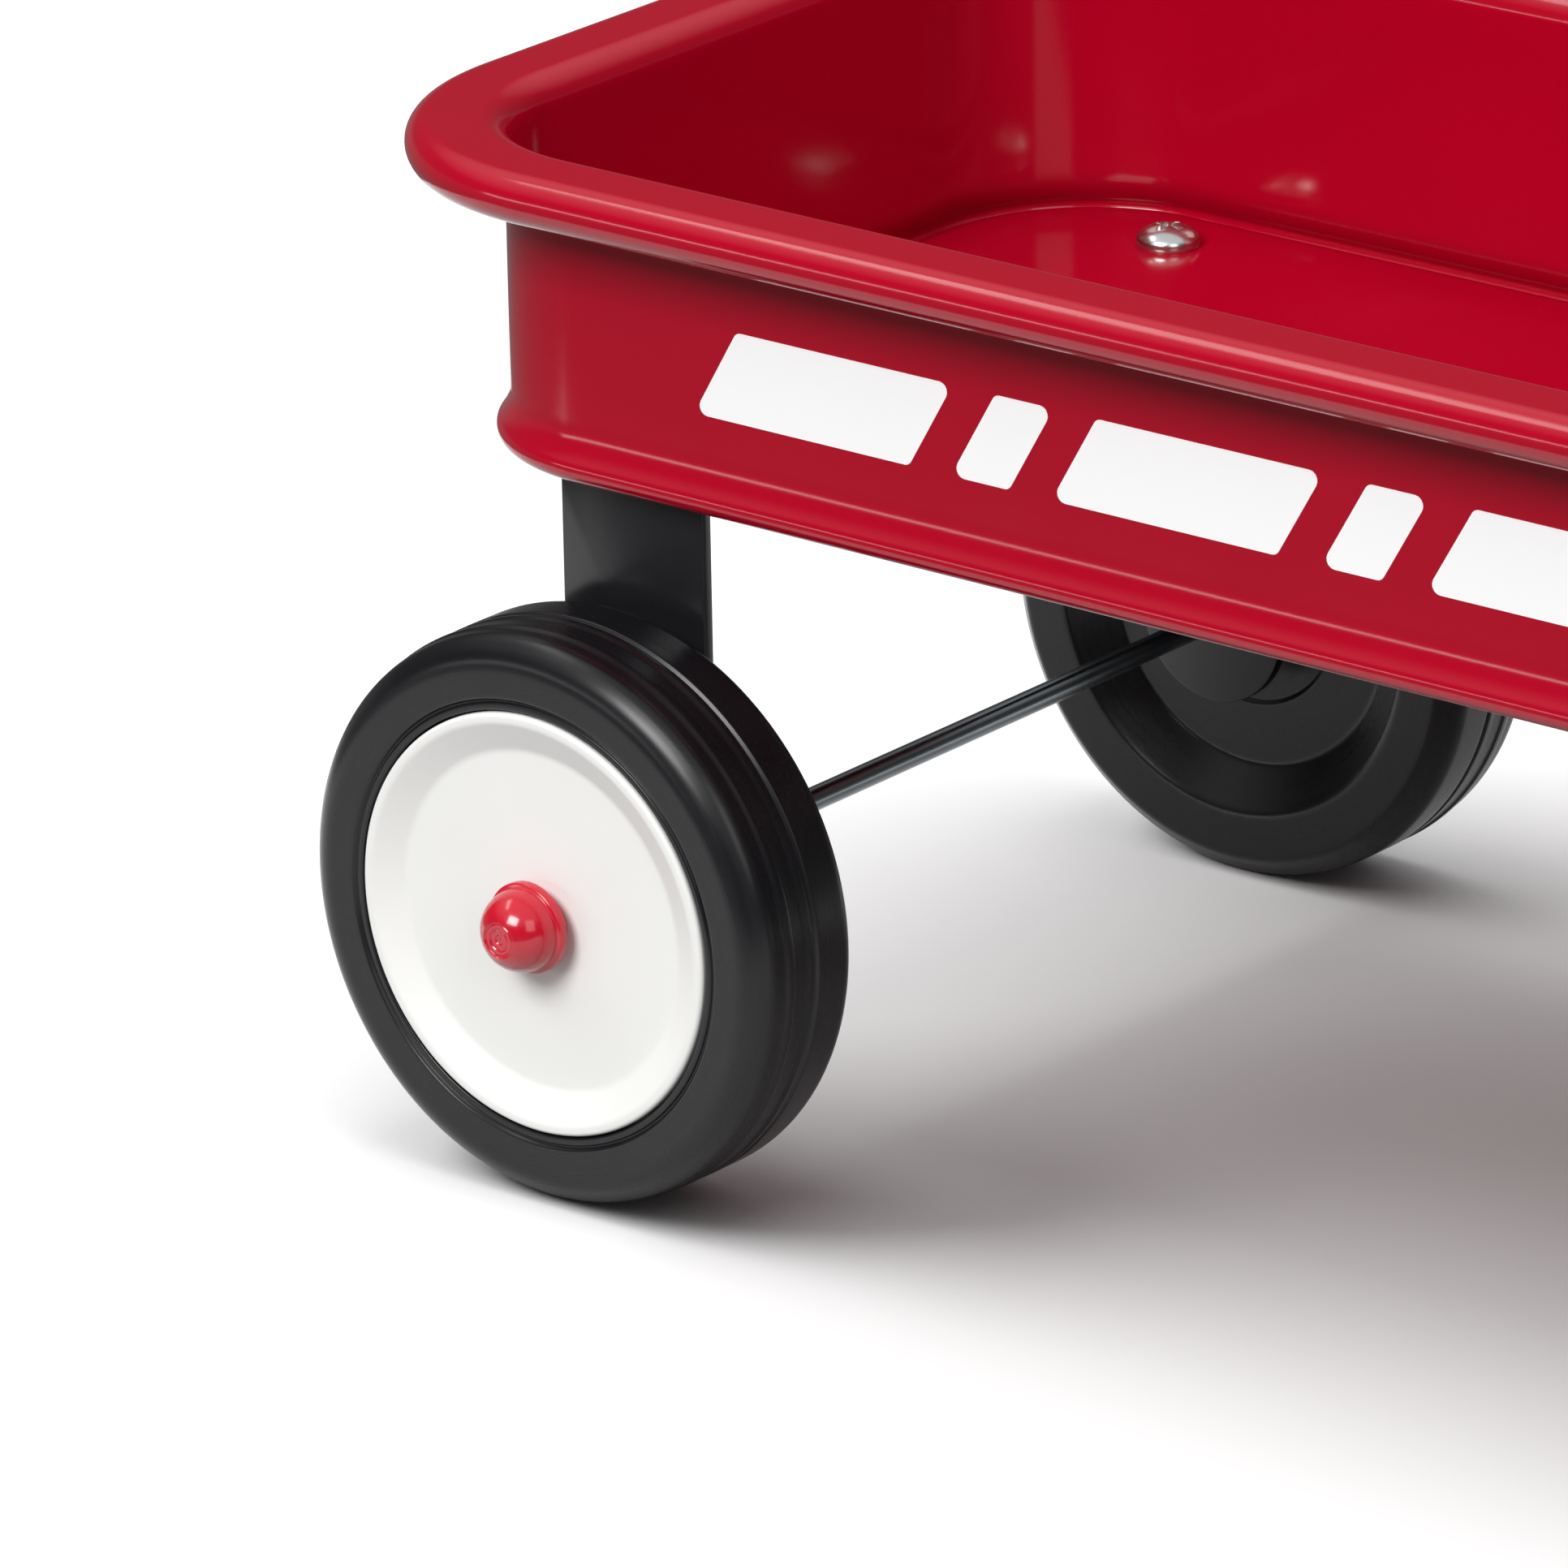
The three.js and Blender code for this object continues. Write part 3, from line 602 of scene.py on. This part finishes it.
def axle_bracket(end):
    """A strap bent into a U over the axle, with rounded leg ends."""
    node = f"{end}_axle_bracket"
    low, high = corners(node)
    half = (high.x - low.x) / 2
    x, _, z = AXLES[end]
    legs = u_bar(high.y, high.z, z - half - 2 * OUTSIDE, STRAP_BEND, STRAP_SHEET, x - half, x + half)
    rounded = [Vector((x + half, high.z + OUTSIDE)), Vector((x - half, high.z + OUTSIDE))]
    rounded += arc((x, z), (half, half), 180, 360, 40)
    bracket = combine(legs, ("INTERSECT", side_plate(rounded, WHEEL_FACE)))
    piece(f"{end}_bracket_strap", eased(bracket, 0.35), Matrix(), BLACK_ENAMEL, "black_enamel",
          END_BODIES[end], node)


# ---- Fasteners -----------------------------------------------------------------------------------

SCREW_RADIUS = 2.0
KINGPIN_RADIUS = 3.0


def thread(radius, low, high, pitch=0.7):
    """The outside of a threaded rod's end, from low to high, as (radius, height) points."""
    root = 0.86 * radius
    points = [Vector((0, low)), Vector((0.72 * radius, low))]
    for i in range(int((high - low) / pitch)):
        base = low + i * pitch
        points += [Vector((radius, base + 0.35 * pitch)), Vector((root, base + 0.85 * pitch))]
    return [*points, Vector((root, high)), Vector((0, high))]


def cross_recess(reach, width, head_top, depth):
    """Two tapered bars that cross, to be cut out of a screw head."""
    bars = []
    for angle in (0, math.pi / 2):
        rings = []
        for share, z in ((1.0, head_top + 0.3), (0.55, head_top - depth)):
            x, y = share * reach, share * width / 2
            rings.append([Vector((-x, -y, z)), Vector((x, -y, z)), Vector((x, y, z)), Vector((-x, y, z))])
        bars.append(moved(skin(rings), Matrix.Rotation(angle, 4, "Z")))
    return bars


def screw(name, node, shank):
    """A truss-head screw with a cross recess, in place of a CAD screw."""
    low, high = corners(node)
    radius = (high.x - low.x) / 2
    height = (0.6 if shank < KINGPIN_RADIUS else 0.46) * radius
    seat = -0.4
    place = facing(Vector((*middle(node).xy, high.z - height)), Z_AXIS)
    dome = [Vector((0, seat)), Vector((radius - 0.2, seat)), Vector((radius, seat + 0.25))]
    dome += arc((0, 0.16 * height), (radius, 0.84 * height), 0, 90, 14)[:-1]
    dome.append(Vector((0, height)))
    recess = cross_recess(0.6 * radius, 0.26 * radius, height, 0.62 * height)
    head = combine(turned(dome, 64), *(("DIFFERENCE", bar) for bar in recess))
    mesh = eased(head, 0.06)
    joined(mesh, mesh_of(*turned(thread(shank, low.z - place.translation.z, seat), 32)))
    piece(name, mesh, place, ZINC, "zinc_steel", "chassis", node)


def nut(node, bore, collar=False):
    """A hexagon nut with its corners chamfered at both ends, and a lock collar below it if asked."""
    low, high = corners(node)
    height = high.z - low.z
    flats = min(high.x - low.x, high.y - low.y) / 2
    corner = flats / math.cos(math.pi / 6)
    chamfer = 0.45
    outline = [
        (bore + 0.25, 0), (flats - 0.2, 0), (corner, chamfer),
        (corner, height - chamfer), (flats - 0.2, height), (bore + 0.25, height),
    ]
    sides = 72
    rings = [[] for _ in outline]
    for i in range(sides):
        angle = 2 * math.pi * i / sides + math.pi / 6
        from_flat = angle % (math.pi / 3) - math.pi / 6
        hexagon = flats / math.cos(from_flat)
        for ring, (radius, z) in zip(rings, outline):
            reach = min(radius, hexagon)
            ring.append(Vector((reach * math.cos(angle), reach * math.sin(angle), z)))
    solid = skin(rings, closed_run=True)
    if collar:
        outer, inner = flats - 0.8, bore + 0.1
        ring = soften([(inner, -1.2), (outer, -1.2, 0.5), (outer, 0.1), (inner, 0.1)])
        solid = together(solid, turned(ring, 48))
    place = facing(Vector((*middle(node).xy, low.z)), Z_AXIS)
    piece(f"{node}_hex", mesh_of(*solid, sharp=25), place, ZINC, "zinc_steel", "chassis", node)


def rivet_outline(reach, shank, head_radius, head_height):
    """A rivet's outline, with a domed head at both ends."""
    dome = arc((0, reach - head_height), (head_radius, head_height), 0, 90, 8)[:-1]
    mirrored = [Vector((p.x, -p.y)) for p in reversed(dome)]
    neck = [Vector((shank, head_height - reach)), Vector((shank, reach - head_height))]
    return [Vector((0, -reach)), *mirrored, *neck, *dome, Vector((0, reach))]


# ---- Wheels and axles ----------------------------------------------------------------------------

WHEEL_SIDES = 160
WHEEL_UNEVENNESS = 0.035            # most that a wheel's surface strays from round
AXLE_RADIUS = 1.6
AXLE_HOLE_RADIUS = 1.9
DISC_RADIUS = 27.8
DISC_FLAT_RADIUS = 22.4
DISC_DISH = 2.1                     # how far the flat centre lies in from the disc's edge
DISC_SHEET = 1.2


def tyre_outline():
    """The black wheel's section, with height 0 at its outer face and going inwards below it."""
    tread = WHEEL_RADIUS
    return brace(soften([
        (AXLE_HOLE_RADIUS, -4.3), (28.1, -4.3), (28.1, -0.3, 0.3), (28.95, -0.3, 0.3), (29.25, -0.75, 0.15),
        (29.7, -0.12, 0.4), (34.9, 0, 4.1), (37.35, -2.4, 4.1), (37.45, -4.6, 1.5), (37.75, -5.3, 0.5),
        (37.78, -6.1, 0.25), (37.5, -6.5, 0.4), (37.55, -8.6, 1.5), (tread - 0.02, -9.4, 0.5),
        (tread - 0.02, -10.0, 0.2), (37.35, -10.35, 0.12), (37.35, -10.6, 0.12), (tread, -10.95, 0.25),
        (tread, -16.9, 2.4), (34.9, -19.6, 1.6), (28.6, -19.45, 2.2), (22.6, -14.9, 1.6),
        (14.2, -14.9, 0.3), (13.7, -14.4, 0.3), (7.2, -14.4, 0.8), (6.3, -20, 0.4), (AXLE_HOLE_RADIUS, -20),
    ], steps=6), closed=True)


def disc_outline():
    """The pressed disc's section, dished inside a rolled edge."""
    back = -DISC_DISH - DISC_SHEET
    return brace(soften([
        (AXLE_HOLE_RADIUS, back), (DISC_FLAT_RADIUS, back, 2), (DISC_RADIUS - 0.4, -1.6),
        (DISC_RADIUS, -1.6), (DISC_RADIUS, -0.02, 0.55), (DISC_RADIUS - 1.3, -0.05, 1.6),
        (DISC_FLAT_RADIUS, -DISC_DISH, 2.2), (AXLE_HOLE_RADIUS, -DISC_DISH),
    ], steps=8), closed=True)


def wheel_place(end, side):
    """The middle of a wheel's outer face, looking outwards."""
    outwards = Y_AXIS * SIDES[side]
    return facing(AXLES[end] + outwards * WHEEL_FACE, outwards)


def wheel(end, side):
    """A black moulding, very slightly uneven apart from its tread, and its white disc."""
    body = f"{end}_{side}_wheel"
    place = wheel_place(end, side)
    seed = Vector((AXLES[end].x, SIDES[side] * 40, 7))

    def uneven(angle, radius, height):
        spot = Vector((3 * math.cos(angle), 3 * math.sin(angle), height * 0.15))
        return WHEEL_UNEVENNESS * noise.noise(spot + seed) * radius / WHEEL_RADIUS if radius < 37 else 0

    tyre = mesh_of(*turned(tyre_outline(), WHEEL_SIDES, uneven), sharp=50)
    piece(f"{body}_tyre", tyre, place, BLACK_WHEEL, "black_wheel", body, body)
    disc = mesh_of(*turned(disc_outline(), WHEEL_SIDES))
    piece(f"{body}_cover", disc, place, WHITE_ENAMEL, "white_enamel", body, f"{body}_disc")


def axle_cap(end, side):
    """A push-on cap: a hub against the disc, a flange, and a dome with rings sunk in its nose."""
    node = f"{end}_{side}_axle_cap"
    low, high = corners(node)
    base = CAD_GAP - DISC_DISH
    tip = max(high.y, -low.y) - WHEEL_FACE
    outline = soften([
        (AXLE_HOLE_RADIUS, base + 1.0), (AXLE_HOLE_RADIUS, base), (4.6, base, 0.2), (4.6, base + 1.6, 0.3),
        (6, base + 1.6, 0.25), (6, base + 2.9, 0.45), (5.5, base + 3.05, 0.12), (5.4, base + 3.3),
    ], steps=8)
    dome = arc((0, base + 3.3), (5.42, tip - base - 2.9), 0, 63, 28)
    nose = dome[-1].y
    outline += dome
    outline += soften([
        (2.44, nose, 0.1), (2.2, nose - 0.35, 0.15), (1.95, nose - 0.1, 0.15), (1.6, nose - 0.1, 0.12),
        (1.4, nose - 0.3, 0.12), (1.15, nose - 0.2, 0.12), (0.7, nose - 0.2, 0.1), (0.55, nose - 0.35, 0.1),
        (0.15, nose - 0.35, 0.1), (0, nose - 0.25),
    ], steps=4)[1:]
    outline.append(Vector((0, base + 1.0)))
    piece(f"{node}_moulding", mesh_of(*turned(outline)), wheel_place(end, side), RED_PLASTIC,
          "red_plastic", END_BODIES[end], node)


def axle(end):
    node = f"{end}_axle"
    reach = corners(node)[1].y
    outline = brace(soften([(0, -reach), (AXLE_RADIUS, -reach, 0.3), (AXLE_RADIUS, reach, 0.3), (0, reach)]))
    piece(f"{end}_axle_rod", mesh_of(*turned(outline, 48)), facing(AXLES[end], Y_AXIS), AXLE_STEEL,
          "axle_steel", END_BODIES[end], node)


def axle_washer(end, side):
    node = f"{end}_{side}_axle_washer"
    low, high = corners(node)
    thick = high.y - low.y
    outline = soften([(1.85, 0), (4.8, 0, 0.2), (4.8, thick, 0.2), (1.85, thick)])
    place = facing(Vector((AXLES[end].x, low.y, AXLES[end].z)), Y_AXIS)
    piece(f"{node}_ring", mesh_of(*turned(outline, 48)), place, ZINC, "zinc_steel", END_BODIES[end], node)


# ---- Steering pivot and tongue -------------------------------------------------------------------

KINGPIN_HOLE = 3.2
PIVOT_BOSS_RADIUS = 13
PIVOT_PLATE_SHEET = 1.8


def pivot_plate():
    """A round plate under the floor whose middle is pressed down into a flat boss."""
    low, high = corners("pivot_plate")
    radius = (high.y - low.y) / 2
    boss, sheet = PIVOT_BOSS_RADIUS, PIVOT_PLATE_SHEET
    drop = high.z - low.z - sheet
    outline = brace(soften([
        (KINGPIN_HOLE, 0), (boss, 0, 0.8), (boss + 2, drop, 0.8), (radius, drop, 0.4),
        (radius, drop + sheet, 0.4), (boss + 0.6, drop + sheet, 1.2), (boss - 1.4, sheet, 1.2),
        (KINGPIN_HOLE, sheet),
    ]), closed=True)
    place = facing(Vector((KINGPIN.x, 0, low.z)), Z_AXIS)
    piece("pivot_plate_pressing", mesh_of(*turned(outline)), place, BLACK_ENAMEL, "black_enamel",
          "chassis", "pivot_plate")


def kingpin_bearing():
    low, high = corners("kingpin_bearing")
    thick = high.z - low.z
    outline = soften([(KINGPIN_HOLE, 0), (6, 0, 0.3), (6, thick, 0.3), (KINGPIN_HOLE, thick)])
    place = facing(Vector((KINGPIN.x, 0, low.z)), Z_AXIS)
    piece("kingpin_bearing_ring", mesh_of(*turned(outline, 64)), place, NYLON, "natural_nylon",
          "chassis", "kingpin_bearing")


TONGUE_SHEET = 1.6
TONGUE_BEND = 1.4
CHEEK_RADIUS = 6.0


def tongue():
    """A channel under the yoke with two cheeks that hold the handle's hinge pin."""
    low, high = corners("tongue_bracket")
    channel = u_bar(high.y, high.z, low.z - 2, TONGUE_BEND, TONGUE_SHEET, low.x, high.x + 4)
    shallow = high.z - 7
    side = soften([
        (low.x, high.z + OUTSIDE), (low.x, shallow, 1.5), (KINGPIN.x + 20, shallow, 8),
        (HINGE.x - 8, HINGE.z - CHEEK_RADIUS + 0.02, 3), (HINGE.x, HINGE.z - CHEEK_RADIUS),
    ], steps=8)
    side += arc((HINGE.x, HINGE.z), (CHEEK_RADIUS, CHEEK_RADIUS), -90, 0, 14)
    side.append(Vector((HINGE.x + 2, high.z + OUTSIDE)))
    inner = high.y - TONGUE_SHEET
    bottom, roof = HINGE.z - 9, high.z + 3
    opening = [(-inner, bottom), (inner, bottom), (inner, roof), (-inner, roof)]
    slot = skin([[Vector((x, y, z)) for y, z in opening] for x in (HINGE.x - 2, high.x + 9)])
    shape = combine(channel, ("INTERSECT", side_plate(side, 30)), ("DIFFERENCE", slot))
    piece("tongue_channel", eased(shape, 0.3), Matrix(), BLACK_ENAMEL, "black_enamel", "steering",
          "tongue_bracket")


def tongue_rivet(end):
    node = f"tongue_rivet_{end}"
    low, high = corners(node)
    outline = rivet_outline((high.z - low.z) / 2, shank=1.4, head_radius=2.5, head_height=1.1)
    piece(f"{node}_heads", mesh_of(*turned(outline, 40)), facing(middle(node), Z_AXIS), BLACK_ENAMEL,
          "black_enamel", "steering", node)


HINGE_PIN_RADIUS = 2.0
HINGE_PIN_HOLE = 2.3
CLIP_TEETH = 6


def handle_pin():
    low, high = corners("handle_pin")
    cheek = corners("tongue_bracket")[1].y + CAD_GAP
    outline = soften([
        (0, low.y), (2.6, low.y, 0.4), (3.4, -cheek - 0.5, 0.4), (3.4, -cheek),
        (HINGE_PIN_RADIUS, -cheek), (HINGE_PIN_RADIUS, high.y - 0.1, 0.4), (0, high.y),
    ])
    piece("handle_pin_turned", mesh_of(*turned(outline, 48)), facing(HINGE, Y_AXIS), ZINC,
          "zinc_steel", "steering", "handle_pin")


def handle_pin_clip():
    """A push-on fixing: a dished washer whose inner edge is cut into teeth that grip the pin."""
    low, high = corners("handle_pin_clip")
    thick = high.y - low.y

    def toothed(angle, radius, _):
        return 0.5 * max(0.0, math.cos(CLIP_TEETH * angle)) ** 6 if radius < 2.6 else 0

    outline = soften([
        (2.05, 0.45 * thick), (3.3, 0, 0.3), (4, 0, 0.15), (4, 0.5 * thick, 0.15),
        (3.3, 0.55 * thick, 0.3), (2.05, thick),
    ])
    place = facing(Vector((HINGE.x, low.y, HINGE.z)), Y_AXIS)
    clip = mesh_of(*turned(outline, wobble=toothed))
    piece("handle_pin_clip_pressing", clip, place, ZINC, "zinc_steel", "steering", "handle_pin_clip")


# ---- Handle --------------------------------------------------------------------------------------

HANDLE_REACH = 246.0                # hinge to the middle of the grip's far bar
HANDLE_ROD_RADIUS = 3.2
SLEEVE_RADIUS = 4.0
GRIP_TUBE_RADIUS = 4.0
GRIP_LENGTH = 48.0                  # the loop, from its near end to its far bar
GRIP_SOCKET = 16.0                  # how far the grip's socket reaches back over the shaft
SHAFT_END = HANDLE_REACH - GRIP_LENGTH - 4
HANDLE_DIP = math.asin((HINGE.z - GRIP_TUBE_RADIUS) / HANDLE_REACH)
HANDLE_PLACE = Matrix.Translation(HINGE) @ Matrix.Rotation(HANDLE_DIP, 4, "Y")
ALONG_X = Matrix.Rotation(math.pi / 2, 4, "Y")


def handle_shaft():
    """The rod and the sleeve welded across its end, which turns on the hinge pin."""
    low, high = corners("handle_shaft")
    half = (high.y - low.y) / 2
    radius, hole = SLEEVE_RADIUS, HINGE_PIN_HOLE
    rod = brace(soften([
        (0, 2), (HANDLE_ROD_RADIUS, 2), (HANDLE_ROD_RADIUS, SHAFT_END, 0.4), (0, SHAFT_END),
    ]))
    sleeve = soften([(hole, -half), (radius, -half, 0.35), (radius, half, 0.35), (hole, half)])
    bore = [Vector(point) for point in ((0, -20), (hole, -20), (hole, 20), (0, 20))]
    across = facing(Vector(), Y_AXIS)
    shaft = combine(
        moved(turned(rod, 40), ALONG_X),
        ("UNION", moved(turned(sleeve, 56), across)),
        ("DIFFERENCE", moved(turned(bore, 40), across)),
    )
    piece("handle_shaft_rod", eased(shaft, 0.3, 35), HANDLE_PLACE, BLACK_ENAMEL, "black_enamel",
          "handle", "handle_shaft")


def grip_line(steps=120):
    """The middle line of the grip's closed loop, a triangle with rounded corners."""
    near_radius, far_radius = 7.0, 9.0
    near = Vector((HANDLE_REACH - GRIP_LENGTH + near_radius, 0))
    far = Vector((HANDLE_REACH - far_radius, 12))
    spread = far - near
    slope = math.atan2(spread.y, spread.x)
    turn = math.degrees(slope + math.acos((near_radius - far_radius) / spread.length))
    loop = arc((far.x, -far.y), (far_radius, far_radius), -turn, 0, 16)
    loop += arc((far.x, far.y), (far_radius, far_radius), 0, turn, 16)
    loop += arc((near.x, 0), (near_radius, near_radius), turn, 360 - turn, 16)
    return evenly(loop, steps)


def grip():
    """The moulded loop, blended into the socket over the shaft."""
    line = grip_line()
    sides = 32
    rings = []
    for i, point in enumerate(line):
        along = (line[(i + 1) % len(line)] - line[i - 1]).normalized()
        across = Vector((-along.y, along.x, 0))
        angles = [2 * math.pi * side / sides for side in range(sides)]
        spokes = [across * math.cos(angle) + Z_AXIS * math.sin(angle) for angle in angles]
        rings.append([Vector((*point, 0)) + GRIP_TUBE_RADIUS * spoke for spoke in spokes])
    start = SHAFT_END - GRIP_SOCKET
    socket = soften([
        (0, start), (4.7, start, 0.5), (4.7, start + 1.6, 0.3), (4.3, start + 2, 0.3),
        (5.2, SHAFT_END - 4, 4), (6.6, SHAFT_END + 4, 2), (0, SHAFT_END + 6),
    ])
    obj = rough_object(together(skin(rings, closed_run=True), moved(turned(socket, 48), ALONG_X)))
    remesh = obj.modifiers.new("blend", "REMESH")
    remesh.mode = "VOXEL"
    remesh.voxel_size = 0.4 * MM
    smooth = obj.modifiers.new("relax", "SMOOTH")
    smooth.factor = 0.5
    smooth.iterations = 6
    mesh = take_mesh(obj)
    mesh.shade_smooth()
    piece("handle_grip_moulding", mesh, HANDLE_PLACE, BLACK_PLASTIC, "black_plastic", "handle",
          "handle_grip")


def grip_rivet():
    reach = corners("handle_grip_rivet")[1].y
    outline = rivet_outline(reach, shank=1, head_radius=1.9, head_height=0.8)
    place = HANDLE_PLACE @ facing(Vector((SHAFT_END - GRIP_SOCKET / 2, 0, 0)), Y_AXIS)
    piece("handle_grip_rivet_heads", mesh_of(*turned(outline, 40)), place, ZINC, "zinc_steel",
          "handle", "handle_grip_rivet")


# ---- Studio --------------------------------------------------------------------------------------

CAMERA_AZIMUTH = 39.507             # degrees; 0 looks along +Y
CAMERA_ELEVATION = 20.467
CAMERA_ROLL = -1.076
CAMERA_LENS = 264.15
CAMERA_DISTANCE = 1407.6
CAMERA_AIM = Vector((41.65, -WHEEL_FACE, 28.28))  # from the middle of the rear axle

# The studio is laid out in metres, degrees and watts.
LIGHT_AIM = Vector((0, 0, 0.06))
FLOOR_SIZE = 28.0
CARD_SIZE = (1.0, 0.5)
CARD_LIFT = 0.0002                  # keeps the card just clear of the floor


def direction(azimuth, elevation):
    """The way from the wagon towards something seen at an azimuth and elevation."""
    a, e = math.radians(azimuth), math.radians(elevation)
    return Vector((math.sin(a) * math.cos(e), -math.cos(a) * math.cos(e), math.sin(e)))


def camera():
    """A long lens at the rear right corner, slightly rolled."""
    data = bpy.data.cameras.new("camera")
    data.sensor_width = 36
    data.lens = CAMERA_LENS
    data.clip_start, data.clip_end = 0.05, 60
    obj = bpy.data.objects.new("camera", data)
    bpy.context.scene.collection.objects.link(obj)
    back = direction(CAMERA_AZIMUTH, CAMERA_ELEVATION)
    level = Matrix((back.cross(-Z_AXIS).normalized(), Vector(), back)).transposed()
    level.col[1] = back.cross(level.col[0])
    place = level.to_4x4() @ Matrix.Rotation(math.radians(CAMERA_ROLL), 4, "Z")
    place.translation = (AXLES["rear"] + CAMERA_AIM + back * CAMERA_DISTANCE) * MM
    obj.matrix_world = place
    bpy.context.scene.camera = obj


def softbox(name, azimuth, elevation, width, height, power, distance=2.0, mirrored=True):
    """A rectangular area light that faces the wagon, and shows in its gloss unless it isn't mirrored."""
    data = bpy.data.lights.new(name, "AREA")
    data.shape = "RECTANGLE"
    data.size, data.size_y = width, height
    data.energy = power
    obj = bpy.data.objects.new(name, data)
    bpy.context.scene.collection.objects.link(obj)
    back = direction(azimuth, elevation)
    obj.matrix_world = facing(LIGHT_AIM + back * distance, back)
    obj.visible_camera = False
    obj.visible_glossy = mirrored
    return obj


def light_only(light, *receivers):
    """Limits what a light falls on; everything else still casts its shadow."""
    linked = bpy.data.collections.new(f"{light.name}_receivers")
    for receiver in receivers:
        linked.objects.link(receiver)
    light.light_linking.receiver_collection = linked


def level_sheet(name, length, width, height=0.0):
    """A white rectangle that lies flat, for the studio."""
    obj = bpy.data.objects.new(name, bpy.data.meshes.new(name))
    signs = ((-1, -1), (1, -1), (1, 1), (-1, 1))
    outline = [(x * length / 2, y * width / 2, height) for x, y in signs]
    obj.data.from_pydata(outline, [], [range(len(outline))])
    obj.data.materials.append(pale_floor())
    bpy.context.scene.collection.objects.link(obj)
    return obj


def studio_floor():
    """The floor, which the wagon doesn't see, and a card on it that shows only in the wagon's gloss."""
    floor = level_sheet("floor", FLOOR_SIZE, FLOOR_SIZE)
    floor.visible_glossy = floor.visible_diffuse = False
    card = level_sheet("mirrored_card", *CARD_SIZE, CARD_LIFT)
    card.visible_camera = card.visible_diffuse = card.visible_shadow = False
    return floor, card


# The backdrop's brightness from straight down (0) past the horizon (0.5) to straight up (1): dim
# below, darkest just above the horizon and bright overhead.
WORLD_LEVELS = ((0, 0.2), (0.5, 0.2), (0.56, 0.08), (0.7, 0.08), (0.87, 0.8))


def studio_world():
    world = bpy.data.worlds.new("world")
    world.use_nodes = True
    nodes, links = world.node_tree.nodes, world.node_tree.links
    height = nodes.new("ShaderNodeSeparateXYZ")
    links.new(nodes.new("ShaderNodeTexCoord").outputs["Generated"], height.inputs[0])
    share = nodes.new("ShaderNodeMapRange")
    share.inputs["From Min"].default_value = -1
    links.new(height.outputs["Z"], share.inputs["Value"])
    levels = nodes.new("ShaderNodeValToRGB")
    stops = levels.color_ramp.elements
    while len(stops) < len(WORLD_LEVELS):
        stops.new(0.5)
    for stop, (position, level) in zip(stops, WORLD_LEVELS):
        stop.position = position
        stop.color = (level, level, level, 1)
    links.new(share.outputs["Result"], levels.inputs["Fac"])
    links.new(levels.outputs["Color"], nodes["Background"].inputs["Color"])
    bpy.context.scene.world = world


def studio():
    """Separate lights for the wagon and for the floor, which get their brightness independently."""
    wagon_pieces = [obj for obj in bpy.context.scene.objects if obj.type == "MESH"]
    ground = studio_floor()
    for light in (
        softbox("key", -4, 38, 0.9, 0.7, 32),
        softbox("right", 56, 30, 0.9, 1.1, 6.5),
        softbox("left_strip", -72, 51, 0.9, 0.25, 3.2),
        softbox("low_strip", -37, 4, 1.2, 0.12, 2.5),
        softbox("back_fill", 190, 30, 1.6, 1.2, 12, mirrored=False),
    ):
        light_only(light, *wagon_pieces)
    for light in (
        softbox("table_top", 0, 88, 1.3, 1.0, 13, distance=1.6),
        softbox("table_side", -60, 40, 1.6, 1.2, 30),
    ):
        light_only(light, *ground)
    studio_world()
    bpy.context.scene.view_settings.view_transform = "Standard"


# ---- Assembly ------------------------------------------------------------------------------------


def wagon():
    """Every piece, each in place of its CAD nodes."""
    tray()
    for side in SIDES:
        decal(side)
        screw(f"rear_screw_{side}_cross_head", f"rear_screw_{side}", SCREW_RADIUS)
        nut(f"rear_nut_{side}", SCREW_RADIUS)
    for end in END_BODIES:
        axle_bracket(end)
        axle(end)
        screw(f"pivot_screw_{end}_cross_head", f"pivot_screw_{end}", SCREW_RADIUS)
        nut(f"pivot_nut_{end}", SCREW_RADIUS)
        tongue_rivet(end)
        for side in SIDES:
            wheel(end, side)
            axle_cap(end, side)
            axle_washer(end, side)
    screw("kingpin_cross_head", "kingpin", KINGPIN_RADIUS)
    nut("kingpin_nut", KINGPIN_RADIUS, collar=True)
    pivot_plate()
    kingpin_bearing()
    tongue()
    handle_pin()
    handle_pin_clip()
    handle_shaft()
    grip()
    grip_rivet()


wagon()
studio()
camera()
